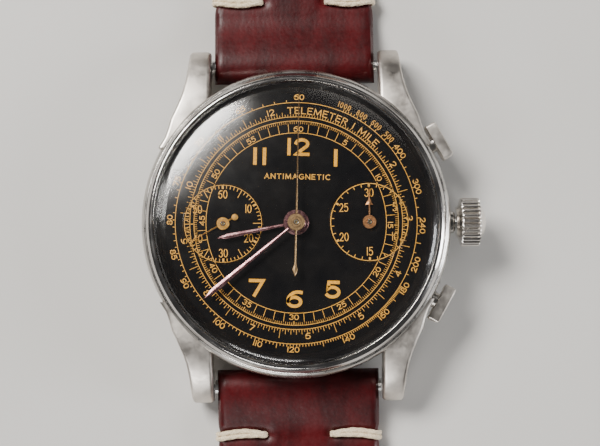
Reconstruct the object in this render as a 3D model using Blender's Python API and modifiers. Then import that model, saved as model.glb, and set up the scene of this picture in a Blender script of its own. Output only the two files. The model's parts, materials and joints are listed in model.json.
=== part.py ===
"""A mechanical chronograph wristwatch with two sub-dials, lying dial up on its open strap.

Run with: blender --background --python part.py. The scene is in metres with +Z up. The sizes below are in
millimetres. The centre of the case back's flat face is the origin, 12 o'clock is +Y and the crown is +X.
"""

from math import asin, atan2, cos, degrees, pi, radians, sin

import bmesh
import bpy
from mathutils import Matrix, Vector

MM = 0.001
RUN = 0.04  # clearance between a turning piece and what holds it

# Case
BORE_R, FLANK_R, WAIST_R = 16.25, 18.45, 17.1
BACK_TOP, CASE_LOW, WAIST_TOP, FLANK_LOW, CASE_TOP = 2.5, 2.55, 3.4, 4.25, 8.2
BACK_R, BACK_FLAT_R = 17.0, 12.0
BEZEL_IN_R, BEZEL_OUT_R, BEZEL_TOP = 16.85, 17.9, 9.3
CRYSTAL_R, CRYSTAL_EDGE, CRYSTAL_APEX, CRYSTAL_WALL = 16.8, 9.9, 12.0, 0.8
CROWN_R, CROWN_IN, CROWN_OUT, CROWN_END, CROWN_TEETH = 2.95, 19.7, 22.0, 22.9, 28
STEM_Z, STEM_R = 5.3, 0.5
PUSHER_ANGLE, PUSHER_Z = 29.5, 5.2
PUSHER_IN, PUSHER_DEPTH, PUSHER_WIDTH, PUSHER_HEIGHT, PUSHER_STEM_R = 19.25, 1.35, 4.65, 2.6, 0.45
PUSHER_REACH, SPRING_SEAT = 14.3, 17.3
LUG_IN, LUG_TIP = 10.2, 21.4

# Strap
BAR_Y, BAR_Z, BAR_R = 19.6, 2.3, 0.85
STRAP_HALF, STRAP_END_HALF, LEATHER = 9.8, 8.0, 2.3
BUCKLE_Y, BUCKLE_Z, BUCKLE_BAR_R = 94.6, 1.95, 0.7
BUCKLE_LENGTH, BUCKLE_HALF, BUCKLE_WIRE = 10.4, 9.3, 0.95
TIP_Y = 134.0
KEEPER_LIFT, KEEPER_WIDTH = 1.0, 5.0

# Heights of the movement's layers, from the case back up to the hands
CHRONO_BRIDGE = (1.55, 1.95)
CHRONO_WHEEL = (2.25, 2.45)
COUNTER_WHEEL = (2.6, 2.75)
LEVER = (2.95, 3.2)
WINDING_WHEEL = (3.5, 3.8)
TRAIN_BRIDGE = (3.5, 4.1)
BARREL_BRIDGE = (3.88, 4.42)
COCK = (3.4, 3.9)
HAIRSPRING = (4.0, 4.15)
THIRD_WHEEL = (4.22, 4.42)
BALANCE = (4.25, 4.6)
CENTER_WHEEL = (4.5, 4.7)
BARREL = (4.78, 5.6)
FOURTH_WHEEL = (4.8, 5.0)
ESCAPE_WHEEL = (5.2, 5.4)
PLATE = (5.8, 6.7)
MINUTE_WHEEL = (6.85, 7.07)
HOUR_WHEEL = (7.17, 7.4)
DIAL = (7.6, 8.0)
SUB_HAND = (8.1, 8.24)
HOUR_HAND = (8.5, 8.68)
MINUTE_HAND = (8.95, 9.1)
CHRONO_HAND = (9.35, 9.48)
PLATE_R, DIAL_R, RECESS_R, RECESS_DEPTH = 15.5, 16.1, 4.8, 0.15

# Train, in millimetres and teeth. Axes are where the pitch circles touch.
SUB_DIAL_X = 8.7
SECONDS_AXIS, COUNTER_AXIS = Vector((-SUB_DIAL_X, 0)), Vector((SUB_DIAL_X, 0))
CENTER_TEETH, THIRD_PINION, THIRD_TEETH, FOURTH_PINION = 64, 8, 60, 8
CENTER_TO_THIRD, THIRD_TO_FOURTH = 5.2, 5.0
FOURTH_TEETH, ESCAPE_PINION, ESCAPE_TEETH, FOURTH_TO_ESCAPE = 70, 7, 15, 3.85
BARREL_TEETH, CENTER_PINION, BARREL_TO_CENTER, BARREL_BEARING = 84, 12, 6.2, 48
CANNON_TEETH, MINUTE_TEETH, MINUTE_PINION, HOUR_TEETH, MOTION_DISTANCE = 12, 36, 10, 40, 2.9
DRIVING_TEETH, COUPLING_TEETH = 60, 16
COUNTER_TEETH, INTERMEDIATE_TEETH, COUNTER_DISTANCE = 60, 32, 4.6
RATCHET_TEETH, CROWN_WHEEL_TEETH = 40, 22
BALANCE_AXIS, BALANCE_R = Vector((-4.4, -9.4)), 4.35
COLUMN_AXIS = Vector((3.4, 9.8))
OPERATING_AXIS, HAMMER_AXIS = Vector((9.2, 10.6)), Vector((4.35, -9.0))
CROWN_WHEEL_AXIS = Vector((11.1, 2.25))
CLUTCH_OPEN = 9.6  # degrees the clutch stands off from mesh
ARM_TURN = 7  # degrees the wheels' arms are turned by

# Where the hands stand at rest, in degrees clockwise from 12
HOUR_ANGLE, MINUTE_ANGLE, SECONDS_ANGLE = 259.3, 231.0, 242.0


# ---------------------------------------------------------------- scene and materials

for old in list(bpy.data.objects):
    bpy.data.objects.remove(old, do_unlink=True)


def new_collection(name):
    made = bpy.data.collections.new(name)
    bpy.context.scene.collection.children.link(made)
    return made


WATCH = new_collection("chronograph_wristwatch")
CUTTERS = new_collection("cutters")


def material(name, colour, roughness, metallic):
    made = bpy.data.materials.new(name)
    made.use_nodes = True
    shader = made.node_tree.nodes["Principled BSDF"]
    shader.inputs["Base Color"].default_value = (*colour, 1)
    shader.inputs["Roughness"].default_value = roughness
    shader.inputs["Metallic"].default_value = metallic
    return made


LOOKS = {
    "polished_steel": ((0.62, 0.61, 0.6), 0.12, 1),
    "plain_steel": ((0.55, 0.55, 0.56), 0.35, 1),
    "spring_steel": ((0.3, 0.33, 0.4), 0.3, 1),
    "gilt_brass": ((0.83, 0.62, 0.25), 0.3, 1),
    "rose_gilt": ((0.78, 0.5, 0.33), 0.35, 1),
    "oxidised_steel": ((0.3, 0.17, 0.19), 0.3, 1),
    "black_enamel": ((0.006, 0.006, 0.007), 0.15, 0),
    "acrylic": ((0.9, 0.9, 0.88), 0.03, 0),
    "burgundy_leather": ((0.16, 0.018, 0.02), 0.45, 0),
}


def finish(obj, name, look):
    """Names the node and gives it a material of its own."""
    obj.name = name
    obj.data.name = name
    obj.data.materials.clear()
    obj.data.materials.append(material(name, *LOOKS[look]))
    return obj


# ---------------------------------------------------------------- shapes, in millimetres


def placed(data, at=(0, 0, 0), turn=(0, 0, 0)):
    obj = bpy.data.objects.new("shape", data)
    obj.location = Vector(at) * MM
    obj.rotation_euler = [radians(a) for a in turn]
    WATCH.objects.link(obj)
    return obj


def arc(radius, start, end, count, centre=(0, 0)):
    """Points on an arc, angles in degrees, both ends included."""
    angles = [radians(start + (end - start) * i / (count - 1)) for i in range(count)]
    return [(centre[0] + radius * cos(a), centre[1] + radius * sin(a)) for a in angles]


def circle(radius, count=16, centre=(0, 0), turn=0.0):
    return arc(radius, turn, turn + 360 - 360 / count, count, centre)


def gear(teeth, pitch_r, turn=0.0, tooth=0.11):
    """A wheel's outline with one pointed tooth per step, the first tooth at turn degrees."""
    points = []
    for i in range(teeth):
        for reach, share in ((tooth, 0), (-tooth, 0.5)):
            a = radians(turn + 360 * (i + share) / teeth)
            points.append(((pitch_r + reach) * cos(a), (pitch_r + reach) * sin(a)))
    return points


def bar(start, end, half, count=7):
    """The outline of a straight bar with round ends."""
    start, end = Vector(start), Vector(end)
    heading = degrees(atan2(end.y - start.y, end.x - start.x))
    near = arc(half, heading + 90, heading + 270, count, start)
    return near + arc(half, heading - 90, heading + 90, count, end)


def flat(outlines, low, high, at=(0, 0)):
    """A plate cut to its outlines, the inner ones being holes, between two heights."""
    curve = bpy.data.curves.new("flat", "CURVE")
    curve.dimensions = "2D"
    curve.fill_mode = "BOTH"
    curve.extrude = (high - low) / 2 * MM
    for outline in outlines:
        spline = curve.splines.new("POLY")
        spline.points.add(len(outline) - 1)
        for point, (x, y) in zip(spline.points, outline):
            point.co = (x * MM, y * MM, 0, 1)
        spline.use_cyclic_u = True
    return placed(curve, (at[0], at[1], (low + high) / 2))


def wire(points, radius, at=(0, 0, 0), turn=(0, 0, 0), resolution=2, cyclic=False):
    curve = bpy.data.curves.new("wire", "CURVE")
    curve.dimensions = "3D"
    curve.bevel_depth = radius * MM
    curve.bevel_resolution = resolution
    curve.use_fill_caps = not cyclic
    spline = curve.splines.new("POLY")
    spline.points.add(len(points) - 1)
    for point, place in zip(spline.points, points):
        point.co = (*(Vector(place) * MM), 1)
    spline.use_cyclic_u = cyclic
    return placed(curve, at, turn)


def turned(profile, at=(0, 0, 0), turn=(0, 0, 0), steps=48, ring=False):
    """A profile of (radius, height) points turned about the piece's own Z."""
    area = sum(
        a[0] * b[1] - b[0] * a[1] for a, b in zip(profile, profile[1:] + profile[:1])
    )
    if area > 0:  # the outer side runs downwards, so that the faces look out
        profile = profile[::-1]
    mesh = bpy.data.meshes.new("turned")
    edges = [(i, i + 1) for i in range(len(profile) - 1)]
    if ring:
        edges.append((len(profile) - 1, 0))
    mesh.from_pydata([(r * MM, 0, z * MM) for r, z in profile], edges, [])
    obj = placed(mesh, at, turn)
    screw = obj.modifiers.new("turn", "SCREW")
    screw.steps = screw.render_steps = steps
    screw.use_merge_vertices = True
    screw.merge_threshold = 1e-7
    return obj


def rod(radius, low, high, at=(0, 0), steps=16):
    return turned([(0, high), (radius, high), (radius, low), (0, low)], (*at, 0), steps=steps)


def tube(inner, outer, low, high, at=(0, 0), steps=24):
    rim = [(inner, high), (outer, high), (outer, low), (inner, low)]
    return turned(rim, (*at, 0), steps=steps, ring=True)


def box(size, at, turn=(0, 0, 0)):
    mesh = bpy.data.meshes.new("box")
    shape = bmesh.new()
    bmesh.ops.create_cube(shape, size=MM)
    bmesh.ops.scale(shape, vec=size, verts=shape.verts)
    shape.to_mesh(mesh)
    shape.free()
    return placed(mesh, at, turn)


def as_mesh(obj):
    """The piece as a welded mesh with its modifiers applied, at the same place."""
    bpy.context.view_layer.update()
    graph = bpy.context.evaluated_depsgraph_get()
    mesh = bpy.data.meshes.new_from_object(obj.evaluated_get(graph))
    shape = bmesh.new()
    shape.from_mesh(mesh)
    bmesh.ops.remove_doubles(shape, verts=shape.verts, dist=1e-7)
    bmesh.ops.recalc_face_normals(shape, faces=shape.faces)
    shape.to_mesh(mesh)
    shape.free()
    made = placed(mesh)
    made.matrix_world = obj.matrix_world.copy()
    bpy.data.objects.remove(obj)
    return made


def combine(base, others, operation):
    base = as_mesh(base)
    for other in others:
        other = as_mesh(other)
        WATCH.objects.unlink(other)
        CUTTERS.objects.link(other)
        other.name = "cutter"
        other.hide_render = True
        other.display_type = "WIRE"
        boolean = base.modifiers.new(operation.lower(), "BOOLEAN")
        boolean.operation = operation
        boolean.solver = "EXACT"
        boolean.object = other
    return base


def fused(base, *others):
    return combine(base, others, "UNION")


def cut(base, *others):
    return combine(base, others, "DIFFERENCE")


def axis_at(angle, radius):
    return Vector((cos(radians(angle)), sin(radians(angle)))) * radius


# ---------------------------------------------------------------- case


def lug():
    """The lug at 1 o'clock, lofted along Y between its sections."""
    stations = (
        # y, outer x, low z, high z
        (10.4, 15.6, 3.6, 8.0),
        (12.6, 14.9, 3.3, 7.95),
        (14.6, 14.0, 3.0, 7.75),
        (16.6, 13.3, 2.4, 7.3),
        (18.6, 12.95, 1.7, 6.4),
        (20.2, 12.8, 1.2, 5.3),
        (21.1, 12.75, 1.25, 4.2),
        (LUG_TIP, 12.7, 1.7, 3.3),
    )
    chamfer = 0.3
    shape = bmesh.new()
    rings = []
    for y, outer, low, high in stations:
        corners = (
            (LUG_IN, low),
            (outer - chamfer, low),
            (outer, low + chamfer),
            (outer, high - chamfer),
            (outer - chamfer, high),
            (LUG_IN, high),
        )
        rings.append([shape.verts.new((x * MM, y * MM, z * MM)) for x, z in corners])
    for near, far in zip(rings, rings[1:]):
        for i in range(len(near)):
            j = (i + 1) % len(near)
            shape.faces.new((near[i], near[j], far[j], far[i]))
    shape.faces.new(rings[0][::-1])
    shape.faces.new(rings[-1])
    bmesh.ops.recalc_face_normals(shape, faces=shape.faces)
    mesh = bpy.data.meshes.new("lug")
    shape.to_mesh(mesh)
    shape.free()
    obj = placed(mesh)
    mirror = obj.modifiers.new("four", "MIRROR")
    mirror.use_axis = (True, True, False)
    mirror.use_mirror_merge = False
    return obj


def side_hole(radius, angle, start, end, z):
    """A rod along a radius of the case, between two distances from its centre."""
    heading = axis_at(angle, 1)
    profile = [(0, end), (radius, end), (radius, start), (0, start)]
    return turned(profile, (0, 0, z), (0, 90, degrees(atan2(heading.y, heading.x))), steps=16)


def make_case():
    outline = [
        (0, CASE_TOP),
        (FLANK_R - 0.45, CASE_TOP),
        (FLANK_R - 0.15, CASE_TOP - 0.12),
        (FLANK_R, CASE_TOP - 0.5),
        (FLANK_R, FLANK_LOW),
        (WAIST_R, WAIST_TOP),
        (WAIST_R, CASE_LOW),
        (0, CASE_LOW),
    ]
    ring = fused(turned(outline, steps=56), lug())
    cuts = [
        rod(BORE_R, 0, 10, steps=56),
        side_hole(STEM_R + RUN, 0, 15, 20, STEM_Z),
    ]
    for angle in (PUSHER_ANGLE, -PUSHER_ANGLE):
        cuts.append(side_hole(PUSHER_STEM_R + RUN, angle, 15, 20, PUSHER_Z))
        cuts.append(side_hole(0.92, angle, SPRING_SEAT, 20, PUSHER_Z))
        # room beside the lug for the pressed cap
        middle = axis_at(angle, FLANK_R + 0.02 + PUSHER_DEPTH)
        pocket = (2 * PUSHER_DEPTH, PUSHER_WIDTH + 0.16, PUSHER_HEIGHT + 0.16)
        cuts.append(box(pocket, (*middle, PUSHER_Z), (0, 0, angle)))
    for side in (1, -1):
        pip = [(0, 11.6), (0.45, 11.6), (0.45, -11.6), (0, -11.6)]
        cuts.append(turned(pip, (0, side * BAR_Y, BAR_Z), (0, 90, 0), steps=12))
    finish(cut(ring, *cuts), "mid_case", "polished_steel")


def make_case_back():
    profile = [
        (0, 0),
        (BACK_FLAT_R, 0),
        (16.4, 0.9),
        (BACK_R, 1.3),
        (BACK_R, BACK_TOP),
        (BORE_R - 0.25, BACK_TOP),
        (15.8, 1.7),
        (12.5, 0.9),
        (0, 0.9),
    ]
    finish(turned(profile, steps=48), "case_back", "polished_steel")


def make_bezel():
    low = CASE_TOP + 0.03
    profile = [
        (BEZEL_IN_R, BEZEL_TOP),
        (17.15, BEZEL_TOP + 0.05),
        (17.4, BEZEL_TOP - 0.05),
        (17.8, BEZEL_TOP - 0.55),
        (BEZEL_OUT_R, BEZEL_TOP - 0.7),
        (BEZEL_OUT_R, low),
        (BEZEL_IN_R, low),
    ]
    finish(turned(profile, steps=56, ring=True), "bezel", "polished_steel")


def dome(radius, edge, apex, count):
    """Points of a shallow dome from its centre out to its edge."""
    rise = apex - edge
    sphere = (radius * radius + rise * rise) / (2 * rise)
    half = asin(radius / sphere)
    angles = [half * i / (count - 1) for i in range(count)]
    return [(sphere * sin(a), apex - sphere * (1 - cos(a))) for a in angles]


def make_crystal():
    low = CASE_TOP + 0.03
    inner = CRYSTAL_R - CRYSTAL_WALL
    outside = dome(CRYSTAL_R, CRYSTAL_EDGE, CRYSTAL_APEX, 6)
    inside = dome(inner, CRYSTAL_EDGE - 0.55, CRYSTAL_APEX - CRYSTAL_WALL, 5)
    profile = outside + [(CRYSTAL_R, low), (inner, low)] + inside[::-1]
    finish(turned(profile, steps=40), "crystal", "acrylic")


def make_crown():
    """The crown is knurled, with a domed end and a hollow that the case's neck would fill."""
    reach = (0, 90, 0)
    knurl = as_mesh(flat([gear(CROWN_TEETH, CROWN_R - 0.12, tooth=0.12)], 0, CROWN_OUT - CROWN_IN))
    knurl.location = Vector(((CROWN_IN + CROWN_OUT) / 2, 0, STEM_Z)) * MM
    knurl.rotation_euler = [radians(a) for a in reach]
    cap = dome(CROWN_R - 0.5, CROWN_OUT, CROWN_END, 4) + [
        (CROWN_R - 0.5, CROWN_IN),
        (1.5, CROWN_IN - 0.5),
        (0, CROWN_IN - 0.5),
    ]
    hole = [(0, 21.6), (STEM_R + 0.03, 21.6), (STEM_R + 0.03, 19), (0, 19)]
    body = fused(knurl, turned(cap, (0, 0, STEM_Z), reach, steps=28))
    hollow = turned(hole, (0, 0, STEM_Z), reach, steps=12)
    finish(cut(body, hollow), "crown", "polished_steel")


def make_stem():
    """The winding stem, from the crown to the sliding pinion's square."""
    profile = [
        (0, 21.5),
        (STEM_R, 21.5),
        (STEM_R, 14.6),
        (0.3, 14.5),
        (0.3, 14.0),
        (STEM_R, 13.9),
        (STEM_R, 10.1),
        (0, 9.9),
    ]
    finish(turned(profile, (0, 0, STEM_Z), (0, 90, 0), steps=12), "winding_stem", "plain_steel")


def make_pusher(name, angle):
    turn = (0, 90, angle)
    middle = axis_at(angle, PUSHER_IN + PUSHER_DEPTH / 2)
    cap = box((PUSHER_DEPTH, PUSHER_WIDTH, PUSHER_HEIGHT), (*middle, PUSHER_Z), (0, 0, angle))
    bevel = cap.modifiers.new("edges", "BEVEL")
    bevel.width = 0.22 * MM
    bevel.segments = 2
    end = PUSHER_IN + PUSHER_DEPTH / 2
    stem = [(0, end), (PUSHER_STEM_R, end), (PUSHER_STEM_R, PUSHER_REACH), (0, PUSHER_REACH)]
    finish(fused(cap, turned(stem, (0, 0, PUSHER_Z), turn, steps=12)), name, "polished_steel")


def make_pusher_spring(name, angle):
    """A coil round the pusher's stem, between its seat in the case and the cap."""
    coil_r, wire_r, turns, per_turn = 0.68, 0.1, 4, 8
    low, high = SPRING_SEAT + wire_r + 0.06, PUSHER_IN - wire_r - 0.06
    points = []
    for i in range(turns * per_turn + 1):
        a = 2 * pi * i / per_turn
        points.append((coil_r * cos(a), coil_r * sin(a), low + (high - low) * i / (turns * per_turn)))
    spring = wire(points, wire_r, (0, 0, PUSHER_Z), (0, 90, angle), resolution=0)
    finish(spring, name, "spring_steel")


def make_spring_bar(name, side):
    half, pip = LUG_IN - 0.12, 11.4
    profile = [(0, pip), (0.38, pip), (0.38, half), (BAR_R, half)]
    profile += [(r, -x) for r, x in profile[::-1]]
    finish(turned(profile, (0, side * BAR_Y, BAR_Z), (0, 90, 0), steps=16), name, "plain_steel")


# ---------------------------------------------------------------- dial and hands


def make_dial():
    low, high = DIAL
    floor = high - RECESS_DEPTH
    base = [circle(DIAL_R, 48, turn=1), circle(0.95, 20, turn=2)]
    base += [circle(0.34, 12, SECONDS_AXIS, 3), circle(0.34, 12, COUNTER_AXIS, 4)]
    face = [circle(DIAL_R - 0.1, 48, turn=2), circle(1.0, 20, turn=3)]
    face += [circle(RECESS_R, 32, SECONDS_AXIS, 1.3), circle(RECESS_R, 32, COUNTER_AXIS, 2.3)]
    body = fused(flat(base, low, floor), flat(face, floor - 0.02, high))
    finish(body, "dial", "black_enamel")


def point_hand(outline, bore, layer, at, angle, hub_r, hub_top):
    """A flat hand with a round hub, drawn pointing to +Y and turned clockwise by its angle."""
    low, high = layer
    blade = flat([outline], low, high, at)
    hub = rod(hub_r, low - 0.01, hub_top, at, steps=20)
    hole = rod(bore, low - 1, hub_top + 1, at, steps=16)
    hand = cut(fused(blade, hub), hole)
    hand.rotation_euler.z = -radians(angle)
    return hand


def make_hands():
    hour = [(-0.14, 0), (-0.29, 8.4), (0, 9.6), (0.29, 8.4), (0.14, 0), (0.12, -1.0), (-0.12, -1.0)]
    minute = [(-0.15, 0), (-0.33, 12.6), (0, 14.2), (0.33, 12.6), (0.15, 0), (0.12, -0.9), (-0.12, -0.9)]
    sweep = [
        (-0.11, 0),
        (-0.07, 15.3),
        (0.07, 15.3),
        (0.11, 0),
        (0.11, -4.9),
        (0.3, -5.6),
        (0, -6.4),
        (-0.3, -5.6),
        (-0.11, -4.9),
    ]
    seconds = [(-0.1, 0), (-0.05, 4.4), (0.05, 4.4), (0.1, 0), (0.1, -1.24)]
    seconds += arc(0.36, 75, -255, 10, (0, -1.6)) + [(-0.1, -1.24)]
    counter = [
        (-0.09, 2.08),
        (-0.45, 2.03),
        (-0.1, 2.8),
        (-0.04, 4.4),
        (0.04, 4.41),
        (0.1, 2.81),
        (0.45, 2.02),
        (0.09, 2.09),
        (0.09, -1.1),
        (-0.09, -1.11),
    ]
    centre = (0, 0)
    hands = (
        ("hour_hand", hour, 0.94, HOUR_HAND, centre, HOUR_ANGLE, 1.5, 8.85, "oxidised_steel"),
        ("minute_hand", minute, 0.66, MINUTE_HAND, centre, MINUTE_ANGLE, 1.15, 9.25, "oxidised_steel"),
        ("chronograph_hand", sweep, 0.2, CHRONO_HAND, centre, 0, 1.0, 9.62, "gilt_brass"),
        ("small_seconds_hand", seconds, 0.28, SUB_HAND, SECONDS_AXIS, SECONDS_ANGLE, 0.72, 8.34, "gilt_brass"),
        ("minute_counter_hand", counter, 0.24, SUB_HAND, COUNTER_AXIS, 0, 0.76, 8.34, "rose_gilt"),
    )
    for name, outline, bore, layer, at, angle, hub_r, hub_top, look in hands:
        finish(point_hand(outline, bore, layer, at, angle, hub_r, hub_top), name, look)


# ---------------------------------------------------------------- movement frame


def make_movement_ring():
    ring = tube(PLATE_R + 0.1, BORE_R - 0.1, 4.0, 7.5, steps=48)
    gaps = [box((3, 2.4, 2.4), (16, 0, STEM_Z))]
    for angle in (PUSHER_ANGLE, -PUSHER_ANGLE):
        gaps.append(box((3, 1.6, 1.6), (*axis_at(angle, 16), PUSHER_Z + 0.1), (0, 0, angle)))
    finish(cut(ring, *gaps), "movement_ring", "gilt_brass")


def make_main_plate():
    low, high = PLATE
    holes = [circle(0.46, 16), circle(0.32, 12, SECONDS_AXIS), circle(0.32, 12, COUNTER_AXIS)]
    plate = flat([circle(PLATE_R, 64)] + holes, low, high)
    stud = rod(0.28, high - 0.2, HOUR_WHEEL[1], MINUTE_AXIS, steps=12)
    slot = box((6.0, 3.4, 2), (12.6, 0, PLATE[0] + 0.1))
    finish(cut(fused(plate, stud), slot), "main_plate", "gilt_brass")


def pillar(at, low, radius=0.8):
    return rod(radius, low, PLATE[0] - 0.05, at, steps=12)


def make_bridges():
    low, high = TRAIN_BRIDGE
    outline = arc(14.6, 97, 215, 16)
    outline += [(-1.0, -1.3), (1.05, -1.0), (0.8, 0.5), (-0.65, 2.6), (-1.15, 4.7), (-0.95, 6.7)]
    holes = [circle(0.44, 14), circle(0.3, 12, SECONDS_AXIS)]
    holes += [circle(0.25, 10, THIRD_AXIS), circle(0.22, 10, ESCAPE_AXIS)]
    posts = [pillar(axis_at(a, 13.6), high - 0.1) for a in (110, 190)]
    finish(fused(flat([outline] + holes, low, high), *posts), "train_bridge", "gilt_brass")

    low, high = BARREL_BRIDGE
    outline = arc(12.9, 9, 40, 7) + arc(14.6, 53, 84, 7) + arc(2.5, 70, 30, 4)
    posts = [pillar(axis_at(a, r), high - 0.1) for a, r in ((17, 11.9), (78, 13.6))]
    plate = flat([outline, circle(0.62, 14, BARREL_AXIS)], low, high)
    finish(fused(plate, *posts), "barrel_bridge", "gilt_brass")

    low, high = COCK
    foot = (1.4, -12.6)
    arm = flat([bar(BALANCE_AXIS, foot, 1.3), circle(0.2, 10, BALANCE_AXIS)], low, high)
    finish(fused(arm, pillar(foot, high - 0.1, 0.9)), "balance_cock", "gilt_brass")

    low, high = CHRONO_BRIDGE
    ends = ((1.6, -6.2), (13.2, -2.6))
    beam = flat([bar((0, 0), COUNTER_AXIS, 1.1)], low, high)
    arms = [flat([bar(a, b, 0.9)], low, high) for a, b in (((0, 0), ends[0]), (COUNTER_AXIS, ends[1]))]
    posts = [pillar(end, high - 0.1, 0.6) for end in ends]
    pivots = [rod(0.24, low - 1, high + 1, at, steps=12) for at in ((0, 0), COUNTER_AXIS)]
    whole = fused(beam, *arms, *posts)
    finish(cut(whole, *pivots), "chronograph_bridge", "gilt_brass")


# ---------------------------------------------------------------- going train


def meeting(first, second, first_r, second_r):
    """The point at two distances from two axes, on the +Y side."""
    gap = (second - first).length
    along = (first_r**2 - second_r**2 + gap**2) / (2 * gap)
    aside = (first_r**2 - along**2) ** 0.5
    way = (second - first) / gap
    places = [first + way * along + Vector((-way.y, way.x)) * s * aside for s in (1, -1)]
    return max(places, key=lambda place: place.y)


THIRD_AXIS = meeting(Vector((0, 0)), SECONDS_AXIS, CENTER_TO_THIRD, THIRD_TO_FOURTH)
ESCAPE_AXIS = SECONDS_AXIS + axis_at(-75, FOURTH_TO_ESCAPE)
BARREL_AXIS = axis_at(BARREL_BEARING, BARREL_TO_CENTER)
MINUTE_AXIS = axis_at(-60, MOTION_DISTANCE)
COUPLING_REACH = SUB_DIAL_X / 2
COUPLING_AXIS = SECONDS_AXIS + axis_at(CLUTCH_OPEN, COUPLING_REACH)
PALLET_AXIS = ESCAPE_AXIS + (BALANCE_AXIS - ESCAPE_AXIS).normalized() * 2.5
INTERMEDIATE_AXIS = COUNTER_AXIS - Vector((COUNTER_DISTANCE, 0))


def pitch(teeth, other, distance):
    return distance * teeth / (teeth + other)


def bearing(start, end):
    return degrees(atan2(end.y - start.y, end.x - start.x))


def wheel_with(outlines, layer, at, extras):
    return fused(flat(outlines, *layer, at), *extras)


def windows(inner, outer, arms, width):
    """The openings between a wheel's arms."""
    made = []
    for i in range(arms):
        start, end = 360 * i / arms + ARM_TURN, 360 * (i + 1) / arms + ARM_TURN
        far, near = degrees(asin(width / 2 / outer)), degrees(asin(width / 2 / inner))
        edge = arc(outer, start + far, end - far, 6)
        made.append(edge + arc(inner, end - near, start + near, 3))
    return made


def make_train():
    third, fourth = bearing(Vector((0, 0)), THIRD_AXIS), bearing(THIRD_AXIS, SECONDS_AXIS)
    escape = bearing(SECONDS_AXIS, ESCAPE_AXIS)
    pinion = 0.09  # leaf height either side of a pinion's pitch circle

    centre_r = pitch(CENTER_TEETH, THIRD_PINION, CENTER_TO_THIRD)
    rim = [gear(CENTER_TEETH, centre_r, third)] + windows(1.3, 3.9, 4, 0.6)
    leaves_r = pitch(CENTER_PINION, BARREL_TEETH, BARREL_TO_CENTER)
    leaves = gear(CENTER_PINION, leaves_r, BARREL_BEARING, pinion)
    arbor = rod(0.38, 3.55, 8.3, steps=20)
    core = rod(0.24, 0, 10, steps=20)
    body = fused(flat(rim, *CENTER_WHEEL), flat([leaves], CENTER_WHEEL[1] - 0.05, 5.3), arbor)
    finish(cut(body, core), "center_wheel", "gilt_brass")

    third_r = pitch(THIRD_TEETH, FOURTH_PINION, THIRD_TO_FOURTH)
    rim = [gear(THIRD_TEETH, third_r, fourth)] + windows(1.2, 3.7, 4, 0.55)
    half_step = 180 / THIRD_PINION
    leaves = gear(THIRD_PINION, CENTER_TO_THIRD - centre_r, third + half_step, pinion)
    extras = (
        flat([leaves], THIRD_WHEEL[1] - 0.05, CENTER_WHEEL[1] + 0.05, THIRD_AXIS),
        rod(0.2, 3.55, PLATE[0] - 0.05, THIRD_AXIS, steps=10),
    )
    finish(wheel_with(rim, THIRD_WHEEL, THIRD_AXIS, extras), "third_wheel", "gilt_brass")

    fourth_r = pitch(FOURTH_TEETH, ESCAPE_PINION, FOURTH_TO_ESCAPE)
    rim = [gear(FOURTH_TEETH, fourth_r, escape, 0.08)] + windows(1.0, 2.95, 4, 0.5)
    half_step = 180 / FOURTH_PINION
    leaves = gear(FOURTH_PINION, THIRD_TO_FOURTH - third_r, fourth + half_step, pinion)
    extras = (
        flat([leaves], 4.16, FOURTH_WHEEL[0] + 0.05, SECONDS_AXIS),
        rod(0.25, 2.0, 8.3, SECONDS_AXIS, steps=12),
    )
    finish(wheel_with(rim, FOURTH_WHEEL, SECONDS_AXIS, extras), "fourth_wheel", "gilt_brass")

    club = []
    for i in range(ESCAPE_TEETH):
        step = 360 / ESCAPE_TEETH
        club += [tuple(axis_at(step * i, 1.95)), tuple(axis_at(step * (i + 0.22), 1.9))]
        club += [tuple(axis_at(step * (i + 0.45), 1.4)), tuple(axis_at(step * (i + 0.9), 1.35))]
    leaves = gear(ESCAPE_PINION, FOURTH_TO_ESCAPE - fourth_r, escape + 180 / ESCAPE_PINION, 0.07)
    extras = (
        flat([leaves], FOURTH_WHEEL[0] - 0.05, ESCAPE_WHEEL[0] + 0.05, ESCAPE_AXIS),
        rod(0.16, 3.55, PLATE[0] - 0.05, ESCAPE_AXIS, steps=10),
    )
    body = wheel_with([club] + windows(0.5, 1.1, 4, 0.25), ESCAPE_WHEEL, ESCAPE_AXIS, extras)
    finish(body, "escape_wheel", "plain_steel")


def make_pallet_fork():
    """Two pallet arms round the escape wheel and a lever to the balance, drawn along +X."""
    low, high = ESCAPE_WHEEL
    lever = [
        (-0.25, -1.75),
        (0.1, -1.6),
        (0.35, -0.35),
        (2.7, -0.14),
        (2.95, -0.3),
        (3.3, -0.22),
        (3.1, -0.12),
        (3.1, 0.12),
        (3.3, 0.22),
        (2.95, 0.3),
        (2.7, 0.14),
        (0.35, 0.35),
        (0.1, 1.6),
        (-0.25, 1.75),
        (-0.4, 1.6),
        (-0.3, 0.3),
        (-0.3, -0.3),
        (-0.4, -1.6),
    ]
    body = fused(flat([lever], low, high, PALLET_AXIS), rod(0.15, 4.75, PLATE[0] - 0.05, PALLET_AXIS, steps=10))
    body.rotation_euler.z = radians(bearing(PALLET_AXIS, BALANCE_AXIS))
    finish(body, "pallet_fork", "plain_steel")


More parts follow.
